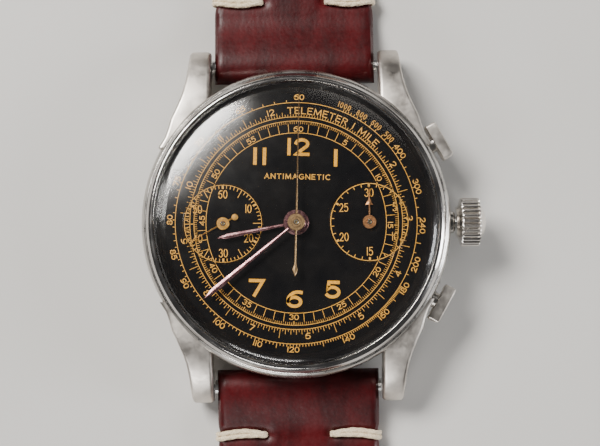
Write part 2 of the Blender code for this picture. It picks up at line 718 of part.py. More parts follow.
def make_balance():
    low, high = BALANCE
    screws, rim = 12, []
    for i in range(screws):
        a = 360 * i / screws
        rim += [tuple(axis_at(a + d, BALANCE_R + e)) for d, e in ((-3, 0), (-3, 0.17), (3, 0.17), (3, 0))]
        rim.append(tuple(axis_at(a + 15, BALANCE_R)))
    body = flat([rim] + windows(0.7, 3.85, 2, 0.6), low, high, BALANCE_AXIS)
    extras = (
        rod(0.15, COCK[0] + 0.05, PLATE[0] - 0.05, BALANCE_AXIS, steps=10),
        rod(0.55, ESCAPE_WHEEL[1] + 0.05, ESCAPE_WHEEL[1] + 0.2, BALANCE_AXIS, steps=16),
    )
    pin_at = BALANCE_AXIS + (PALLET_AXIS - BALANCE_AXIS).normalized() * 0.42
    pin = rod(0.08, ESCAPE_WHEEL[0] + 0.02, ESCAPE_WHEEL[1] + 0.1, pin_at, steps=8)
    finish(fused(body, *extras, pin), "balance_wheel", "gilt_brass")


def spiral_band(start_r, end_r, turns, per_turn, thickness):
    """A flat strip wound outwards, as an outline."""
    count = turns * per_turn
    inner, outer = [], []
    for i in range(count + 1):
        a = 2 * pi * i / per_turn
        r = start_r + (end_r - start_r) * i / count
        inner.append(((r - thickness / 2) * cos(a), (r - thickness / 2) * sin(a)))
        outer.append(((r + thickness / 2) * cos(a), (r + thickness / 2) * sin(a)))
    return inner + outer[::-1]


def make_springs():
    hair = flat([spiral_band(0.45, 2.6, 4, 12, 0.06)], *HAIRSPRING, BALANCE_AXIS)
    finish(hair, "hairspring", "spring_steel")
    main = flat([spiral_band(1.15, 4.5, 6, 12, 0.14)], BARREL[0] + 0.28, BARREL[1] - 0.1, BARREL_AXIS)
    finish(main, "mainspring", "spring_steel")


def make_barrel():
    low, high = BARREL
    mesh_at = bearing(BARREL_AXIS, Vector((0, 0)))
    half_step = 180 / BARREL_TEETH
    teeth = gear(BARREL_TEETH, pitch(BARREL_TEETH, CENTER_PINION, BARREL_TO_CENTER), mesh_at + half_step)
    flange = flat([teeth], low, low + 0.2, BARREL_AXIS)
    drum = tube(4.75, 5.05, low + 0.1, high, BARREL_AXIS, steps=28)
    arbor_hole = rod(0.6, low - 1, high + 1, BARREL_AXIS, steps=16)
    finish(cut(fused(flange, drum), arbor_hole), "barrel", "gilt_brass")
    profile = [
        (0, PLATE[0] - 0.05),
        (0.35, PLATE[0] - 0.05),
        (0.35, high),
        (0.95, high),
        (0.95, low + 0.26),
        (0.55, low + 0.24),
        (0.55, WINDING_WHEEL[1] + 0.03),
        (0.4, WINDING_WHEEL[1]),
        (0.4, LEVER[1] + 0.1),
        (0, LEVER[1] + 0.1),
    ]
    finish(turned(profile, (*BARREL_AXIS, 0), steps=16), "barrel_arbor", "plain_steel")


def make_motion_works():
    cannon_r = pitch(CANNON_TEETH, MINUTE_TEETH, MOTION_DISTANCE)
    toward = bearing(Vector((0, 0)), MINUTE_AXIS)
    leaves = flat([gear(CANNON_TEETH, cannon_r, toward, 0.09)], 6.82, 7.1)
    pipe = fused(leaves, rod(0.62, 6.8, 9.15, steps=20))
    finish(cut(pipe, rod(0.42, 6, 10, steps=20)), "cannon_pinion", "plain_steel")

    minute_r = MOTION_DISTANCE - cannon_r
    half_step = 180 / MINUTE_TEETH
    rim = flat([gear(MINUTE_TEETH, minute_r, toward + half_step)], *MINUTE_WHEEL, MINUTE_AXIS)
    pinion_r = pitch(MINUTE_PINION, HOUR_TEETH, MOTION_DISTANCE)
    leaves = gear(MINUTE_PINION, pinion_r, toward, 0.09)
    leaves = flat([leaves], MINUTE_WHEEL[0] - 0.02, HOUR_WHEEL[1] + 0.05, MINUTE_AXIS)
    bore = rod(0.32, 6, 8, MINUTE_AXIS, steps=12)
    finish(cut(fused(rim, leaves), bore), "minute_wheel", "gilt_brass")

    hour_r = MOTION_DISTANCE - pinion_r
    rim = flat([gear(HOUR_TEETH, hour_r, toward + 180 / HOUR_TEETH)], *HOUR_WHEEL)
    pipe = fused(rim, rod(0.9, HOUR_WHEEL[0] - 0.02, 8.75, steps=18))
    finish(cut(pipe, rod(0.66, 6, 10, steps=18)), "hour_wheel", "gilt_brass")


# ---------------------------------------------------------------- winding


def make_winding():
    reach = (0, 90, 0)
    wind_r, hole = 1.3, STEM_R + RUN
    tooth = flat([gear(14, wind_r, tooth=0.12), circle(hole, 12)], -0.4, 0.4)
    tooth = as_mesh(tooth)
    tooth.location = Vector((12.4, 0, STEM_Z)) * MM
    tooth.rotation_euler = [radians(a) for a in reach]
    finish(tooth, "winding_pinion", "plain_steel")
    castle = [(hole, 11.9), (1.0, 11.9), (1.0, 11.5), (0.75, 11.4), (0.75, 11.0), (1.0, 10.9), (1.0, 10.6), (hole, 10.6)]
    finish(turned(castle, (0, 0, STEM_Z), reach, steps=14, ring=True), "sliding_pinion", "plain_steel")

    blade = flat([bar((14.25, 0.45), (13.2, 3.6), 0.4, 5)], 4.5, 4.74)
    pin = rod(0.15, 4.6, 5.4, (14.25, 0.49), steps=8)
    finish(fused(blade, pin), "setting_lever", "plain_steel")
    yoke = flat([bar((11.2, -0.95), (11.2, -1.45), 0.16, 4)], STEM_Z - 0.3, STEM_Z + 0.3)
    finish(yoke, "yoke", "plain_steel")

    low, high = WINDING_WHEEL
    span = (CROWN_WHEEL_AXIS - BARREL_AXIS).length
    ratchet_r = pitch(RATCHET_TEETH, CROWN_WHEEL_TEETH, span)
    toward = bearing(BARREL_AXIS, CROWN_WHEEL_AXIS)
    rim = gear(RATCHET_TEETH, ratchet_r, toward)
    finish(flat([rim, circle(0.44, 12)], low, high, BARREL_AXIS), "ratchet_wheel", "plain_steel")
    rim = gear(CROWN_WHEEL_TEETH, span - ratchet_r, toward + 180 + 180 / CROWN_WHEEL_TEETH)
    finish(flat([rim, circle(0.6, 12)], low, high, CROWN_WHEEL_AXIS), "crown_wheel", "plain_steel")

    pivot = BARREL_AXIS + axis_at(121, ratchet_r + 1.4)
    toe = BARREL_AXIS + axis_at(106, ratchet_r + 0.42)
    beak = bar((0, 0), toe - pivot, 0.28, 5)
    hub = circle(0.6, 14)
    body = fused(flat([beak], low, high, pivot), flat([hub], low, high, pivot))
    finish(body, "click", "plain_steel")


# ---------------------------------------------------------------- chronograph works


def heart(notch_angle, low_r=0.45, high_r=1.0, count=20):
    """A heart cam, nearest its axis at the notch."""
    points = []
    for i in range(count):
        away = abs((i / count * 2) - 1)  # 1 at the notch, 0 opposite it
        r = high_r - (high_r - low_r) * away
        points.append(tuple(axis_at(notch_angle + 360 * i / count, r)))
    return points


def make_chronograph_wheels():
    module_r = SUB_DIAL_X / (2 * DRIVING_TEETH + 2 * COUPLING_TEETH)
    wheel_r, coupling_r = module_r * DRIVING_TEETH, module_r * COUPLING_TEETH
    rim = [gear(DRIVING_TEETH, wheel_r, CLUTCH_OPEN, 0.08), circle(0.28, 12)] + windows(0.9, 2.8, 4, 0.5)
    finish(flat(rim, *CHRONO_WHEEL, SECONDS_AXIS), "driving_wheel", "gilt_brass")

    step = 180 / COUPLING_TEETH
    rim = gear(COUPLING_TEETH, coupling_r, CLUTCH_OPEN + 180 + step, 0.08)
    arbor = rod(0.15, 2.1, LEVER[1] + 0.1, COUPLING_AXIS, steps=10)
    finish(fused(flat([rim], *CHRONO_WHEEL, COUPLING_AXIS), arbor), "coupling_wheel", "gilt_brass")

    finger = flat([bar((0, 0), axis_at(200, 2.22), 0.2, 4)], COUNTER_WHEEL[0], COUNTER_WHEEL[1])
    cam = flat([heart(0)], *LEVER)
    rim = flat([gear(DRIVING_TEETH, wheel_r, 0, 0.08)] + windows(0.9, 2.8, 4, 0.5), *CHRONO_WHEEL)
    arbor = rod(0.18, CHRONO_BRIDGE[0] + 0.05, 9.58, steps=12)
    finish(fused(rim, finger, cam, arbor), "chronograph_runner", "gilt_brass")

    counter_r = pitch(COUNTER_TEETH, INTERMEDIATE_TEETH, COUNTER_DISTANCE)
    rim = [gear(COUNTER_TEETH, counter_r, 180, 0.08)] + windows(0.9, 2.4, 4, 0.5)
    cam = flat([heart(0)], *LEVER, COUNTER_AXIS)
    arbor = rod(0.2, CHRONO_BRIDGE[0] + 0.05, 8.3, COUNTER_AXIS, steps=12)
    body = fused(flat(rim, *COUNTER_WHEEL, COUNTER_AXIS), cam, arbor)
    finish(body, "minute_runner", "gilt_brass")

    rim = gear(INTERMEDIATE_TEETH, COUNTER_DISTANCE - counter_r, 180 / INTERMEDIATE_TEETH, 0.08)
    arbor = rod(0.15, 2.1, LEVER[1] + 0.1, INTERMEDIATE_AXIS, steps=10)
    body = fused(flat([rim], *COUNTER_WHEEL, INTERMEDIATE_AXIS), arbor)
    finish(body, "intermediate_wheel", "gilt_brass")


def make_column_wheel():
    ratchet = flat([gear(12, 1.45, tooth=0.15)], 2.15, 2.45, COLUMN_AXIS)
    columns = []
    for i in range(6):
        points = arc(1.25, 60 * i - 10, 60 * i + 20, 4) + arc(0.4, 60 * i + 15, 60 * i - 9, 2)
        columns.append(flat([points], 2.4, 3.3, COLUMN_AXIS))
    hub = rod(0.62, 2.1, 3.38, COLUMN_AXIS, steps=12)
    finish(fused(ratchet, hub, *columns), "column_wheel", "plain_steel")


def lever_at(axis, outline, tab_at=None):
    """A flat lever on its pivot, with an upright tab where a pusher meets it."""
    low, high = LEVER
    moved = [(x - axis.x, y - axis.y) for x, y in outline]
    extras = [rod(0.42, low - 0.25, high + 0.15, axis, steps=12)]
    if tab_at is not None:
        angle = bearing(Vector((0, 0)), tab_at)
        extras.append(box((0.3, 1.5, 5.5 - low), (*tab_at, (5.5 + low) / 2), (0, 0, angle)))
    return fused(flat([moved], low, high, axis), *extras)


def make_levers():
    start_tab = axis_at(PUSHER_ANGLE, PUSHER_REACH - 0.35)
    reset_tab = axis_at(-PUSHER_ANGLE, PUSHER_REACH - 0.65)
    operating = [
        (5.35, 10.0),
        (8.6, 9.9),
        (9.9, 9.3),
        (11.6, 6.0),
        (12.6, 6.6),
        (12.2, 8.0),
        (10.2, 11.3),
        (8.8, 11.4),
        (5.6, 10.9),
    ]
    finish(lever_at(OPERATING_AXIS, operating, start_tab), "operating_lever", "plain_steel")

    hammer = [
        (1.7, 0.7),
        (1.7, -0.9),
        (1.9, -1.9),
        (3.8, -2.6),
        (3.6, -9.6),
        (5.2, -9.8),
        (12.4, -7.6),
        (12.5, -6.2),
        (11.6, -6.3),
        (5.2, -8.3),
        (4.9, -3.2),
        (10.9, -2.4),
        (11.1, 0.7),
        (10.4, 0.7),
        (10.4, -1.5),
        (4.8, -2.2),
        (2.35, -1.3),
        (2.2, 0.7),
    ]
    finish(lever_at(HAMMER_AXIS, hammer, reset_tab), "reset_hammer", "plain_steel")

    low, high = LEVER
    relative = COUPLING_AXIS - SECONDS_AXIS
    elbow, beak = Vector((6.7, 5.4)), Vector((10.2, 8.3))
    body = fused(
        flat([bar((0, 0), relative, 0.75, 6)], low, high, SECONDS_AXIS),
        flat([bar(relative, elbow, 0.4, 5)], low, high, SECONDS_AXIS),
        flat([bar(elbow, beak, 0.4, 5)], low, high, SECONDS_AXIS),
    )
    holes = [rod(0.32, 2, 4, SECONDS_AXIS, steps=12), rod(0.2, 2, 4, COUPLING_AXIS, steps=10)]
    finish(cut(body, *holes), "clutch_lever", "plain_steel")


# ---------------------------------------------------------------- strap and buckle


def side_view(outlines, half_width):
    """A piece drawn in side view, as (y, z) outlines, and made as wide as the strap along X."""
    curve_obj = as_mesh(flat(outlines, -half_width, half_width))
    swap = Matrix(((0, 0, 1, 0), (1, 0, 0, 0), (0, 1, 0, 0), (0, 0, 0, 1)))
    curve_obj.data.transform(swap)
    return curve_obj


def taper(obj, start, end):
    """Narrows the strap in plan from its full width at one distance from the centre to its end width."""
    for vertex in obj.data.vertices:
        share = (abs(vertex.co.y) / MM - start) / (end - start)
        share = min(1, max(0, share))
        vertex.co.x *= 1 + (STRAP_END_HALF / STRAP_HALF - 1) * share


def make_buckle_side():
    loop = arc(2.1, 90, 270, 12, (BAR_Y, BAR_Z))
    under = [(25.5, 0), (32, 0), (50, 0), (62, KEEPER_LIFT), (86, KEEPER_LIFT), (90, KEEPER_LIFT)]
    end = arc(1.75, -90, 90, 9, (BUCKLE_Y, BUCKLE_Z))
    over = [(90, KEEPER_LIFT + 1.9), (86, KEEPER_LIFT + 1.95), (62, KEEPER_LIFT + LEATHER)]
    over += [(50, LEATHER), (32, LEATHER + 0.1), (25.5, LEATHER + 0.2)]
    holes = [circle(BAR_R + 0.07, 14, (BAR_Y, BAR_Z)), circle(BUCKLE_BAR_R + 0.07, 12, (BUCKLE_Y, BUCKLE_Z))]
    strap = side_view([loop + under + end + over] + holes, STRAP_HALF)
    taper(strap, 32, 86)
    slot = box((3.4, 7, 8), (0, BUCKLE_Y + 1.0, 2))
    finish(cut(strap, slot), "strap_buckle_side", "burgundy_leather")


def make_tip_side():
    """The long half, with its buckle holes and a rounded tip."""
    loop = arc(2.1, 90, 270, 12, (BAR_Y, BAR_Z))
    under = [(25.5, 0.03), (32, 0.02), (112, 0.01), (TIP_Y, 0)]
    over = [(TIP_Y, 1.7), (112, 1.9), (60, LEATHER), (32, LEATHER + 0.1), (25.5, LEATHER + 0.2)]
    strap = side_view([loop + under + over, circle(BAR_R + 0.07, 14, (BAR_Y, BAR_Z))], STRAP_HALF)
    strap.data.transform(Matrix.Rotation(pi, 4, "Z"))
    taper(strap, 32, 112)
    round_end = [(-12, 5), (-9, 5)] + arc(8.3, 180, 360, 13) + [(9, 5.1), (12, 5.1), (12, -12), (-12, -12.1)]
    frame = flat([round_end], -1, 4, (0, -TIP_Y + 8.3))
    holes = [rod(0.85, -1, 4, (0, -TIP_Y + 24 + 6.5 * i), steps=10) for i in range(7)]
    finish(cut(strap, frame, *holes), "strap_tip_side", "burgundy_leather")


def make_keeper(name, y, inner_half):
    """A leather band round the strap with room for the strap's other half."""
    low, high, skin = 0, 6.4, 0.85
    outer = [(-inner_half - skin, low), (inner_half + skin, low), (inner_half + skin, high), (-inner_half - skin, high)]
    inner = [
        (-inner_half, low + skin),
        (inner_half, low + skin),
        (inner_half, high - skin),
        (-inner_half, high - skin),
    ]
    band = as_mesh(flat([outer, inner], -KEEPER_WIDTH / 2, KEEPER_WIDTH / 2))
    upright = Matrix(((1, 0, 0, 0), (0, 0, -1, 0), (0, 1, 0, 0), (0, 0, 0, 1)))
    band.data.transform(upright)
    band.location = (0, y * MM, 0)
    finish(band, name, "burgundy_leather")


def make_buckle():
    """A bent frame, the bar through its ends and the tongue that turns on the bar."""
    fall = -degrees(asin((BUCKLE_Z - BUCKLE_WIRE - 0.03) / (BUCKLE_LENGTH - BUCKLE_WIRE)))
    here = (0, BUCKLE_Y, BUCKLE_Z)
    corner, far = 2.4, BUCKLE_LENGTH - BUCKLE_WIRE
    path = [(BUCKLE_HALF, -1.1, 0)]
    path += [(x, y, 0) for x, y in arc(corner, 0, 90, 5, (BUCKLE_HALF - corner, far - corner))]
    path += [(-x, y, z) for x, y, z in path[::-1]]
    frame = wire(path, BUCKLE_WIRE, here, (fall, 0, 0), resolution=2)
    hole = [(0, 12), (0.45, 12), (0.45, -12), (0, -12)]
    frame = cut(frame, turned(hole, here, (0, 90, 0), steps=10))
    finish(frame, "buckle_frame", "polished_steel")

    half = BUCKLE_HALF - BUCKLE_WIRE - 0.12
    tip = BUCKLE_HALF + 0.7
    profile = [(0, tip), (0.4, tip), (0.4, half), (BUCKLE_BAR_R, half)]
    profile += [(r, -x) for r, x in profile[::-1]]
    finish(turned(profile, here, (0, 90, 0), steps=12), "buckle_bar", "plain_steel")

    rest = Matrix.Rotation(radians(fall), 3, "X") @ Vector((0, far, BUCKLE_WIRE))
    eye = arc(1.25, 110, 380, 9)
    tongue = eye + [(rest.y - 1.2, rest.z + 0.12), (rest.y + 0.9, rest.z + 0.04)]
    tongue += [(rest.y + 0.9, rest.z + 0.65), (rest.y - 1.2, rest.z + 0.85)]
    body = side_view([tongue, circle(BUCKLE_BAR_R + 0.06, 12)], 0.8)
    body.location = Vector(here) * MM
    finish(body, "buckle_tang", "polished_steel")


# ---------------------------------------------------------------- the whole watch

make_case()
make_case_back()
make_bezel()
make_crystal()
make_crown()
make_stem()
for label, bearing_deg in (("start_stop", PUSHER_ANGLE), ("reset", -PUSHER_ANGLE)):
    make_pusher("pusher_" + label, bearing_deg)
    make_pusher_spring("pusher_spring_" + label, bearing_deg)
make_spring_bar("spring_bar_buckle_side", 1)
make_spring_bar("spring_bar_tip_side", -1)
make_dial()
make_hands()
make_movement_ring()
make_main_plate()
make_bridges()
make_train()
make_pallet_fork()
make_balance()
make_springs()
make_barrel()
make_motion_works()
make_winding()
make_chronograph_wheels()
make_column_wheel()
make_levers()
make_buckle_side()
make_tip_side()
make_keeper("fixed_keeper", 87.2, 8.3)
make_keeper("floating_keeper", 76.0, 9.0)
make_buckle()
bpy.context.view_layer.update()
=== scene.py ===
"""The looks of a chronograph wristwatch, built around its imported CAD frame.

Sizes are in millimetres unless a name says otherwise. The centre of the case back is the origin, 12 o'clock
is +Y and the crown is +X. Angles on the dial are in degrees clockwise from 12.
"""

import json
from math import asin, cos, degrees, exp, hypot, pi, radians, sin, sqrt

import bmesh
import bpy
from mathutils import Matrix, Vector, noise


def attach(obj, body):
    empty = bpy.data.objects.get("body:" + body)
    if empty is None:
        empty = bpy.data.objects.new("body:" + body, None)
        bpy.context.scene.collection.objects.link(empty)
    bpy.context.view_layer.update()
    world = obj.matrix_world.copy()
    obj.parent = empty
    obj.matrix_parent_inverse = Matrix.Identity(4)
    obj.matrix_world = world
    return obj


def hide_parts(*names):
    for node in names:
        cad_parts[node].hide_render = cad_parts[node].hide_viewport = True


MM = 0.001

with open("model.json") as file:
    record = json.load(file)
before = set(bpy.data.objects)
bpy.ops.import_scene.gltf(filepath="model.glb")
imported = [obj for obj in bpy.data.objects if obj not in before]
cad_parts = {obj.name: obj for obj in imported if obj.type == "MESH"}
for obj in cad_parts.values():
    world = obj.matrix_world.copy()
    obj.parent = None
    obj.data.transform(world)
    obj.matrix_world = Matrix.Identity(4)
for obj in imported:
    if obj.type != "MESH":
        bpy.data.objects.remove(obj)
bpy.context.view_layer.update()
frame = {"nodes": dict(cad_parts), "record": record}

# ---------------------------------------------------------------- sizes shared with the CAD part

CASE_TOP, FLANK_R, WAIST_R = 8.2, 18.45, 17.1
BEZEL_IN_R, BEZEL_OUT_R, BEZEL_TOP = 16.85, 17.9, 9.3
CRYSTAL_R, CRYSTAL_EDGE, CRYSTAL_APEX, CRYSTAL_WALL = 16.8, 9.9, 12.0, 0.8
CROWN_R, CROWN_IN, CROWN_OUT, CROWN_END, CROWN_TEETH = 2.95, 19.7, 22.0, 22.9, 28
STEM_Z = 5.3
PUSHER_ANGLE, PUSHER_Z, PUSHER_IN = 29.5, 5.2, 19.25
LUG_IN, LUG_TIP = 10.2, 21.4
BAR_Y, BAR_Z = 19.6, 2.3
STRAP_HALF, STRAP_END_HALF, LEATHER = 9.8, 8.0, 2.3
BUCKLE_Y, BUCKLE_Z = 94.6, 1.95
BUCKLE_LENGTH, BUCKLE_HALF, BUCKLE_WIRE = 10.4, 9.3, 0.95
TIP_Y, HOLE_STEP, FIRST_HOLE = 134.0, 6.5, 24.0
DIAL_TOP, DIAL_R = 8.0, 16.1
SUB_X, RECESS_R, RECESS_DEPTH = 8.7, 4.8, 0.15
CENTRE, LEFT, RIGHT = (0.0, 0.0), (-SUB_X, 0.0), (SUB_X, 0.0)
DIAL_TURN = 2.0  # the dial sits this many degrees clockwise in its case
HOUR_ANGLE, MINUTE_ANGLE, SECONDS_ANGLE = 259.3, 231.0, 242.0
CREASE, CUT_CREASE = 38, 30  # edges sharper than this many degrees stay sharp, on plain and on cut pieces


# ---------------------------------------------------------------- materials


class Look:
    """A node material under construction. Its shader is a Principled BSDF."""

    def __init__(self, name, colour, roughness, metallic=0.0, **sockets):
        self.material = bpy.data.materials.new(name)
        self.material.use_nodes = True
        self.nodes = self.material.node_tree.nodes
        self.links = self.material.node_tree.links
        self.shader = self.nodes["Principled BSDF"]
        self.set("Base Color", (*colour, 1))
        self.set("Roughness", roughness)
        self.set("Metallic", metallic)
        for socket, value in sockets.items():
            self.set(socket.replace("_", " "), value)
        self.bump = None

    def set(self, socket, value):
        self.shader.inputs[socket].default_value = value

    def feed(self, socket, value):
        """Gives an input another node's output or a plain value."""
        if isinstance(value, bpy.types.NodeSocket):
            self.links.new(value, socket)
        else:
            socket.default_value = value

    def add(self, kind, **inputs):
        node = self.nodes.new(kind)
        for socket, value in inputs.items():
            self.feed(node.inputs[socket.replace("_", " ")], value)
        return node

    def math(self, operation, first, second=0.0):
        node = self.nodes.new("ShaderNodeMath")
        node.operation = operation
        self.feed(node.inputs[0], first)
        self.feed(node.inputs[1], second)
        return node.outputs[0]

    def place(self, stretch=(1, 1, 1)):
        """Object coordinates in millimetres, stretched along the three axes."""
        where = self.nodes.new("ShaderNodeTexCoord").outputs["Object"]
        scale = [1000 * s for s in stretch]
        return self.add("ShaderNodeMapping", Vector=where, Scale=scale).outputs["Vector"]

    def polar(self, around, across):
        """Coordinates that run round the watch's axis, for marks that follow a lathe's tool."""
        x, y, z = self.add("ShaderNodeSeparateXYZ", Vector=self.place()).outputs
        angle = self.math("ARCTAN2", y, x)
        radius = self.math("SQRT", self.math("ADD", self.math("POWER", x, 2.0), self.math("POWER", y, 2.0)))
        turned = self.add(
            "ShaderNodeCombineXYZ",
            X=self.math("MULTIPLY", radius, across),
            Y=self.math("MULTIPLY", angle, around),
            Z=self.math("MULTIPLY", z, across),
        )
        return turned.outputs["Vector"]

    def grain(self, where, scale, detail=3.0, roughness=0.5):
        """Noise between 0 and 1."""
        inputs = {"Vector": where, "Scale": scale, "Detail": detail, "Roughness": roughness}
        return self.add("ShaderNodeTexNoise", **inputs).outputs["Fac"]

    def cells(self, where, scale, feature="F1"):
        """The distance to the nearest of many scattered points."""
        made = self.add("ShaderNodeTexVoronoi", Vector=where, Scale=scale)
        made.feature = feature
        return made.outputs["Distance"]

    def ramp(self, value, stops):
        """Maps a value through colour stops (position, colour)."""
        made = self.add("ShaderNodeValToRGB", Fac=value)
        elements = made.color_ramp.elements
        while len(elements) < len(stops):
            elements.new(0.5)
        for element, (position, colour) in zip(elements, stops):
            element.position = position
            element.color = (*colour, 1)
        return made.outputs["Color"]

    def spread(self, value, low, high, start=0.3, end=0.7):
        """Maps a value from start..end to low..high."""
        inputs = {"From_Min": start, "From_Max": end, "To_Min": low, "To_Max": high}
        return self.add("ShaderNodeMapRange", Value=value, **inputs).outputs["Result"]

    def paint(self, value, stops):
        """Colours the shader by a value, through colour stops."""
        self.links.new(self.ramp(value, stops), self.shader.inputs["Base Color"])

    def roughen(self, value, low, high):
        self.links.new(self.spread(value, low, high), self.shader.inputs["Roughness"])

    def raise_by(self, height, depth_mm, strength=1.0):
        """Adds relief of this depth to what the shader already has."""
        made = self.add("ShaderNodeBump", Height=height, Distance=depth_mm * MM, Strength=strength)
        if self.bump:
            self.links.new(self.bump.outputs["Normal"], made.inputs["Normal"])
        self.links.new(made.outputs["Normal"], self.shader.inputs["Normal"])
        self.bump = made


def steel(name, colour, roughness, wear, turned=False):
    """Bare steel with fine marks, faint dirt and small dents. wear runs from 0, new, to 1, battered."""
    look = Look(name, colour, roughness, 1.0)
    place = look.place()
    cloud = look.grain(place, 0.35, 4.0)
    dirt = look.grain(place, 2.2, 6.0, 0.65)
    dark = [c * (1 - 0.35 * wear) for c in colour]
    look.paint(cloud, [(0.35, dark), (0.62, colour)])
    patches = look.spread(cloud, 0.0, 0.12 + 0.1 * wear)
    smears = look.spread(dirt, roughness, roughness + 0.12 * wear)
    look.links.new(look.math("ADD", patches, smears), look.shader.inputs["Roughness"])
    if turned:
        marks = look.grain(look.polar(6.0, 14.0), 1.0, 2.0)
    else:
        marks = look.grain(look.place((0.4, 7.0, 2.0)), 1.0, 3.0)
    look.raise_by(marks, 0.004 + 0.006 * wear, 0.35)
    look.raise_by(look.grain(place, 0.9, 5.0), 0.02 * wear + 0.002, 0.4)
    return look.material


def gilt(name, colour, roughness, pattern):
    """Gilt brass with a movement maker's finish: perlage spots, straight stripes or a turned grain."""
    look = Look(name, colour, roughness, 1.0)
    place = look.place()
    cloud = look.grain(place, 0.5, 4.0)
    look.paint(cloud, [(0.3, [c * 0.72 for c in colour]), (0.7, colour)])
    look.roughen(look.grain(place, 3.0, 4.0), roughness - 0.06, roughness + 0.12)
    if pattern == "spots":
        look.raise_by(look.cells(place, 0.9), 0.02, 0.35)
    elif pattern == "stripes":
        stripes = look.add("ShaderNodeTexWave", Vector=place, Scale=0.16)
        look.raise_by(stripes.outputs["Fac"], 0.03, 0.4)
    else:
        look.raise_by(look.grain(look.polar(5.0, 16.0), 1.0, 2.0), 0.006, 0.4)
    look.raise_by(look.grain(place, 6.0, 3.0), 0.003, 0.5)
    return look.material


def lacquer():
    """The dial's black: deep and glossy, with specks that have settled into it over the years."""
    look = Look("dial_black", (0.004, 0.004, 0.005), 0.16, Coat_Weight=0.5, Coat_Roughness=0.08)
    place = look.place()
    specks = look.spread(look.cells(place, 1.6), 1.0, 0.0, 0.0, 0.08)
    cloud = look.grain(place, 0.25, 4.0)
    fade = look.ramp(cloud, [(0.35, (0.0035, 0.0035, 0.0045)), (0.75, (0.009, 0.008, 0.008))])
    mixed = look.add("ShaderNodeMix", Factor=look.math("MULTIPLY", specks, 0.12))
    mixed.data_type = "RGBA"
    look.links.new(fade, mixed.inputs["A"])
    mixed.inputs["B"].default_value = (0.09, 0.07, 0.05, 1)
    look.links.new(mixed.outputs["Result"], look.shader.inputs["Base Color"])
    look.roughen(look.grain(place, 1.2, 5.0), 0.12, 0.24)
    look.raise_by(look.grain(place, 0.4, 3.0), 0.002, 0.2)
    look.raise_by(look.grain(place, 9.0, 2.0), 0.0005, 0.4)
    return look.material


def print_gold(name, colour, metallic):
    """Gilt print, a little uneven where the ink lies thin."""
    look = Look(name, colour, 0.42, metallic)
    place = look.place()
    thin = look.grain(place, 5.0, 4.0, 0.6)
    look.paint(thin, [(0.32, [c * 0.62 for c in colour]), (0.6, colour)])
    look.roughen(look.grain(place, 8.0, 2.0), 0.34, 0.55)
    look.raise_by(thin, 0.01, 0.5)
    return look.material


def oxidised():
    """The hour and minute hands: steel gone plum brown, lighter where it is rubbed."""
    look = Look("oxidised_steel_worn", (0.3, 0.16, 0.18), 0.28, 0.9)
    place = look.place()
    cloud = look.grain(place, 1.1, 5.0, 0.65)
    look.paint(cloud, [(0.3, (0.12, 0.05, 0.06)), (0.52, (0.36, 0.18, 0.2)), (0.78, (0.72, 0.48, 0.48))])
    look.roughen(look.grain(place, 4.0, 3.0), 0.22, 0.38)
    look.raise_by(look.grain(place, 7.0, 3.0), 0.004, 0.6)
    return look.material


def acrylic():
    """A clear dome that lamps shine through, hazy with years of fine scratches."""
    look = Look("acrylic_dome", (1, 1, 1), 0.03)
    clear = look.add("ShaderNodeBsdfTransparent", Color=(0.985, 0.98, 0.965, 1))
    haze = look.spread(look.grain(look.place(), 0.4, 5.0), 0.12, 0.16)
    gloss = look.add("ShaderNodeBsdfGlossy", Color=(1, 1, 1, 1), Roughness=haze)
    # Schlick's share of reflected light. It is the same from inside, where a Fresnel node would make
    # the dome a mirror.
    facing = look.add("ShaderNodeLayerWeight").outputs["Facing"]
    share = look.math("ADD", look.math("MULTIPLY", look.math("POWER", facing, 5.0), 0.9), 0.04)
    mix = look.add("ShaderNodeMixShader", Fac=share)
    look.links.new(clear.outputs["BSDF"], mix.inputs[1])
    look.links.new(gloss.outputs["BSDF"], mix.inputs[2])
    look.links.new(mix.outputs["Shader"], look.nodes["Material Output"].inputs["Surface"])
    look.nodes.remove(look.shader)
    return look.material


def leather(name, dark, light, coat):
    """Waxed leather: cloudy colour, a fine creased grain and paler rubbed spots."""
    look = Look(name, light, 0.4, Coat_Weight=coat, Coat_Roughness=0.28, Specular_IOR_Level=0.22)
    place = look.place()
    cloud = look.grain(look.place((1.0, 0.35, 1.0)), 0.32, 6.0, 0.62)
    fine = look.grain(place, 3.2, 4.0, 0.6)
    mottle = look.math("ADD", look.math("MULTIPLY", cloud, 0.78), look.math("MULTIPLY", fine, 0.22))
    middle = [(d + l) / 2 for d, l in zip(dark, light)]
    rubbed = [min(1, l * 1.35 + 0.006) for l in light]
    look.paint(mottle, [(0.34, dark), (0.48, middle), (0.6, light), (0.78, rubbed)])
    look.roughen(look.grain(place, 1.4, 5.0, 0.65), 0.36, 0.56)
    look.raise_by(look.cells(look.place((1.0, 0.8, 1.0)), 2.6, "SMOOTH_F1"), 0.05, 0.3)
    look.raise_by(look.grain(look.place((0.9, 0.3, 0.9)), 0.9, 5.0), 0.12, 0.35)
    look.raise_by(look.grain(place, 9.0, 3.0), 0.02, 0.4)
    return look.material


def linen():
    """Cream waxed thread, laid in strands."""
    look = Look("linen_thread", (0.72, 0.6, 0.42), 0.62, Sheen_Weight=0.3)
    place = look.place()
    fuzz = look.grain(place, 6.0, 4.0, 0.6)
    look.paint(fuzz, [(0.3, (0.42, 0.3, 0.18)), (0.5, (0.7, 0.57, 0.38)), (0.7, (0.86, 0.76, 0.58))])
    look.roughen(fuzz, 0.5, 0.8)
    look.raise_by(fuzz, 0.05, 0.6)
    return look.material


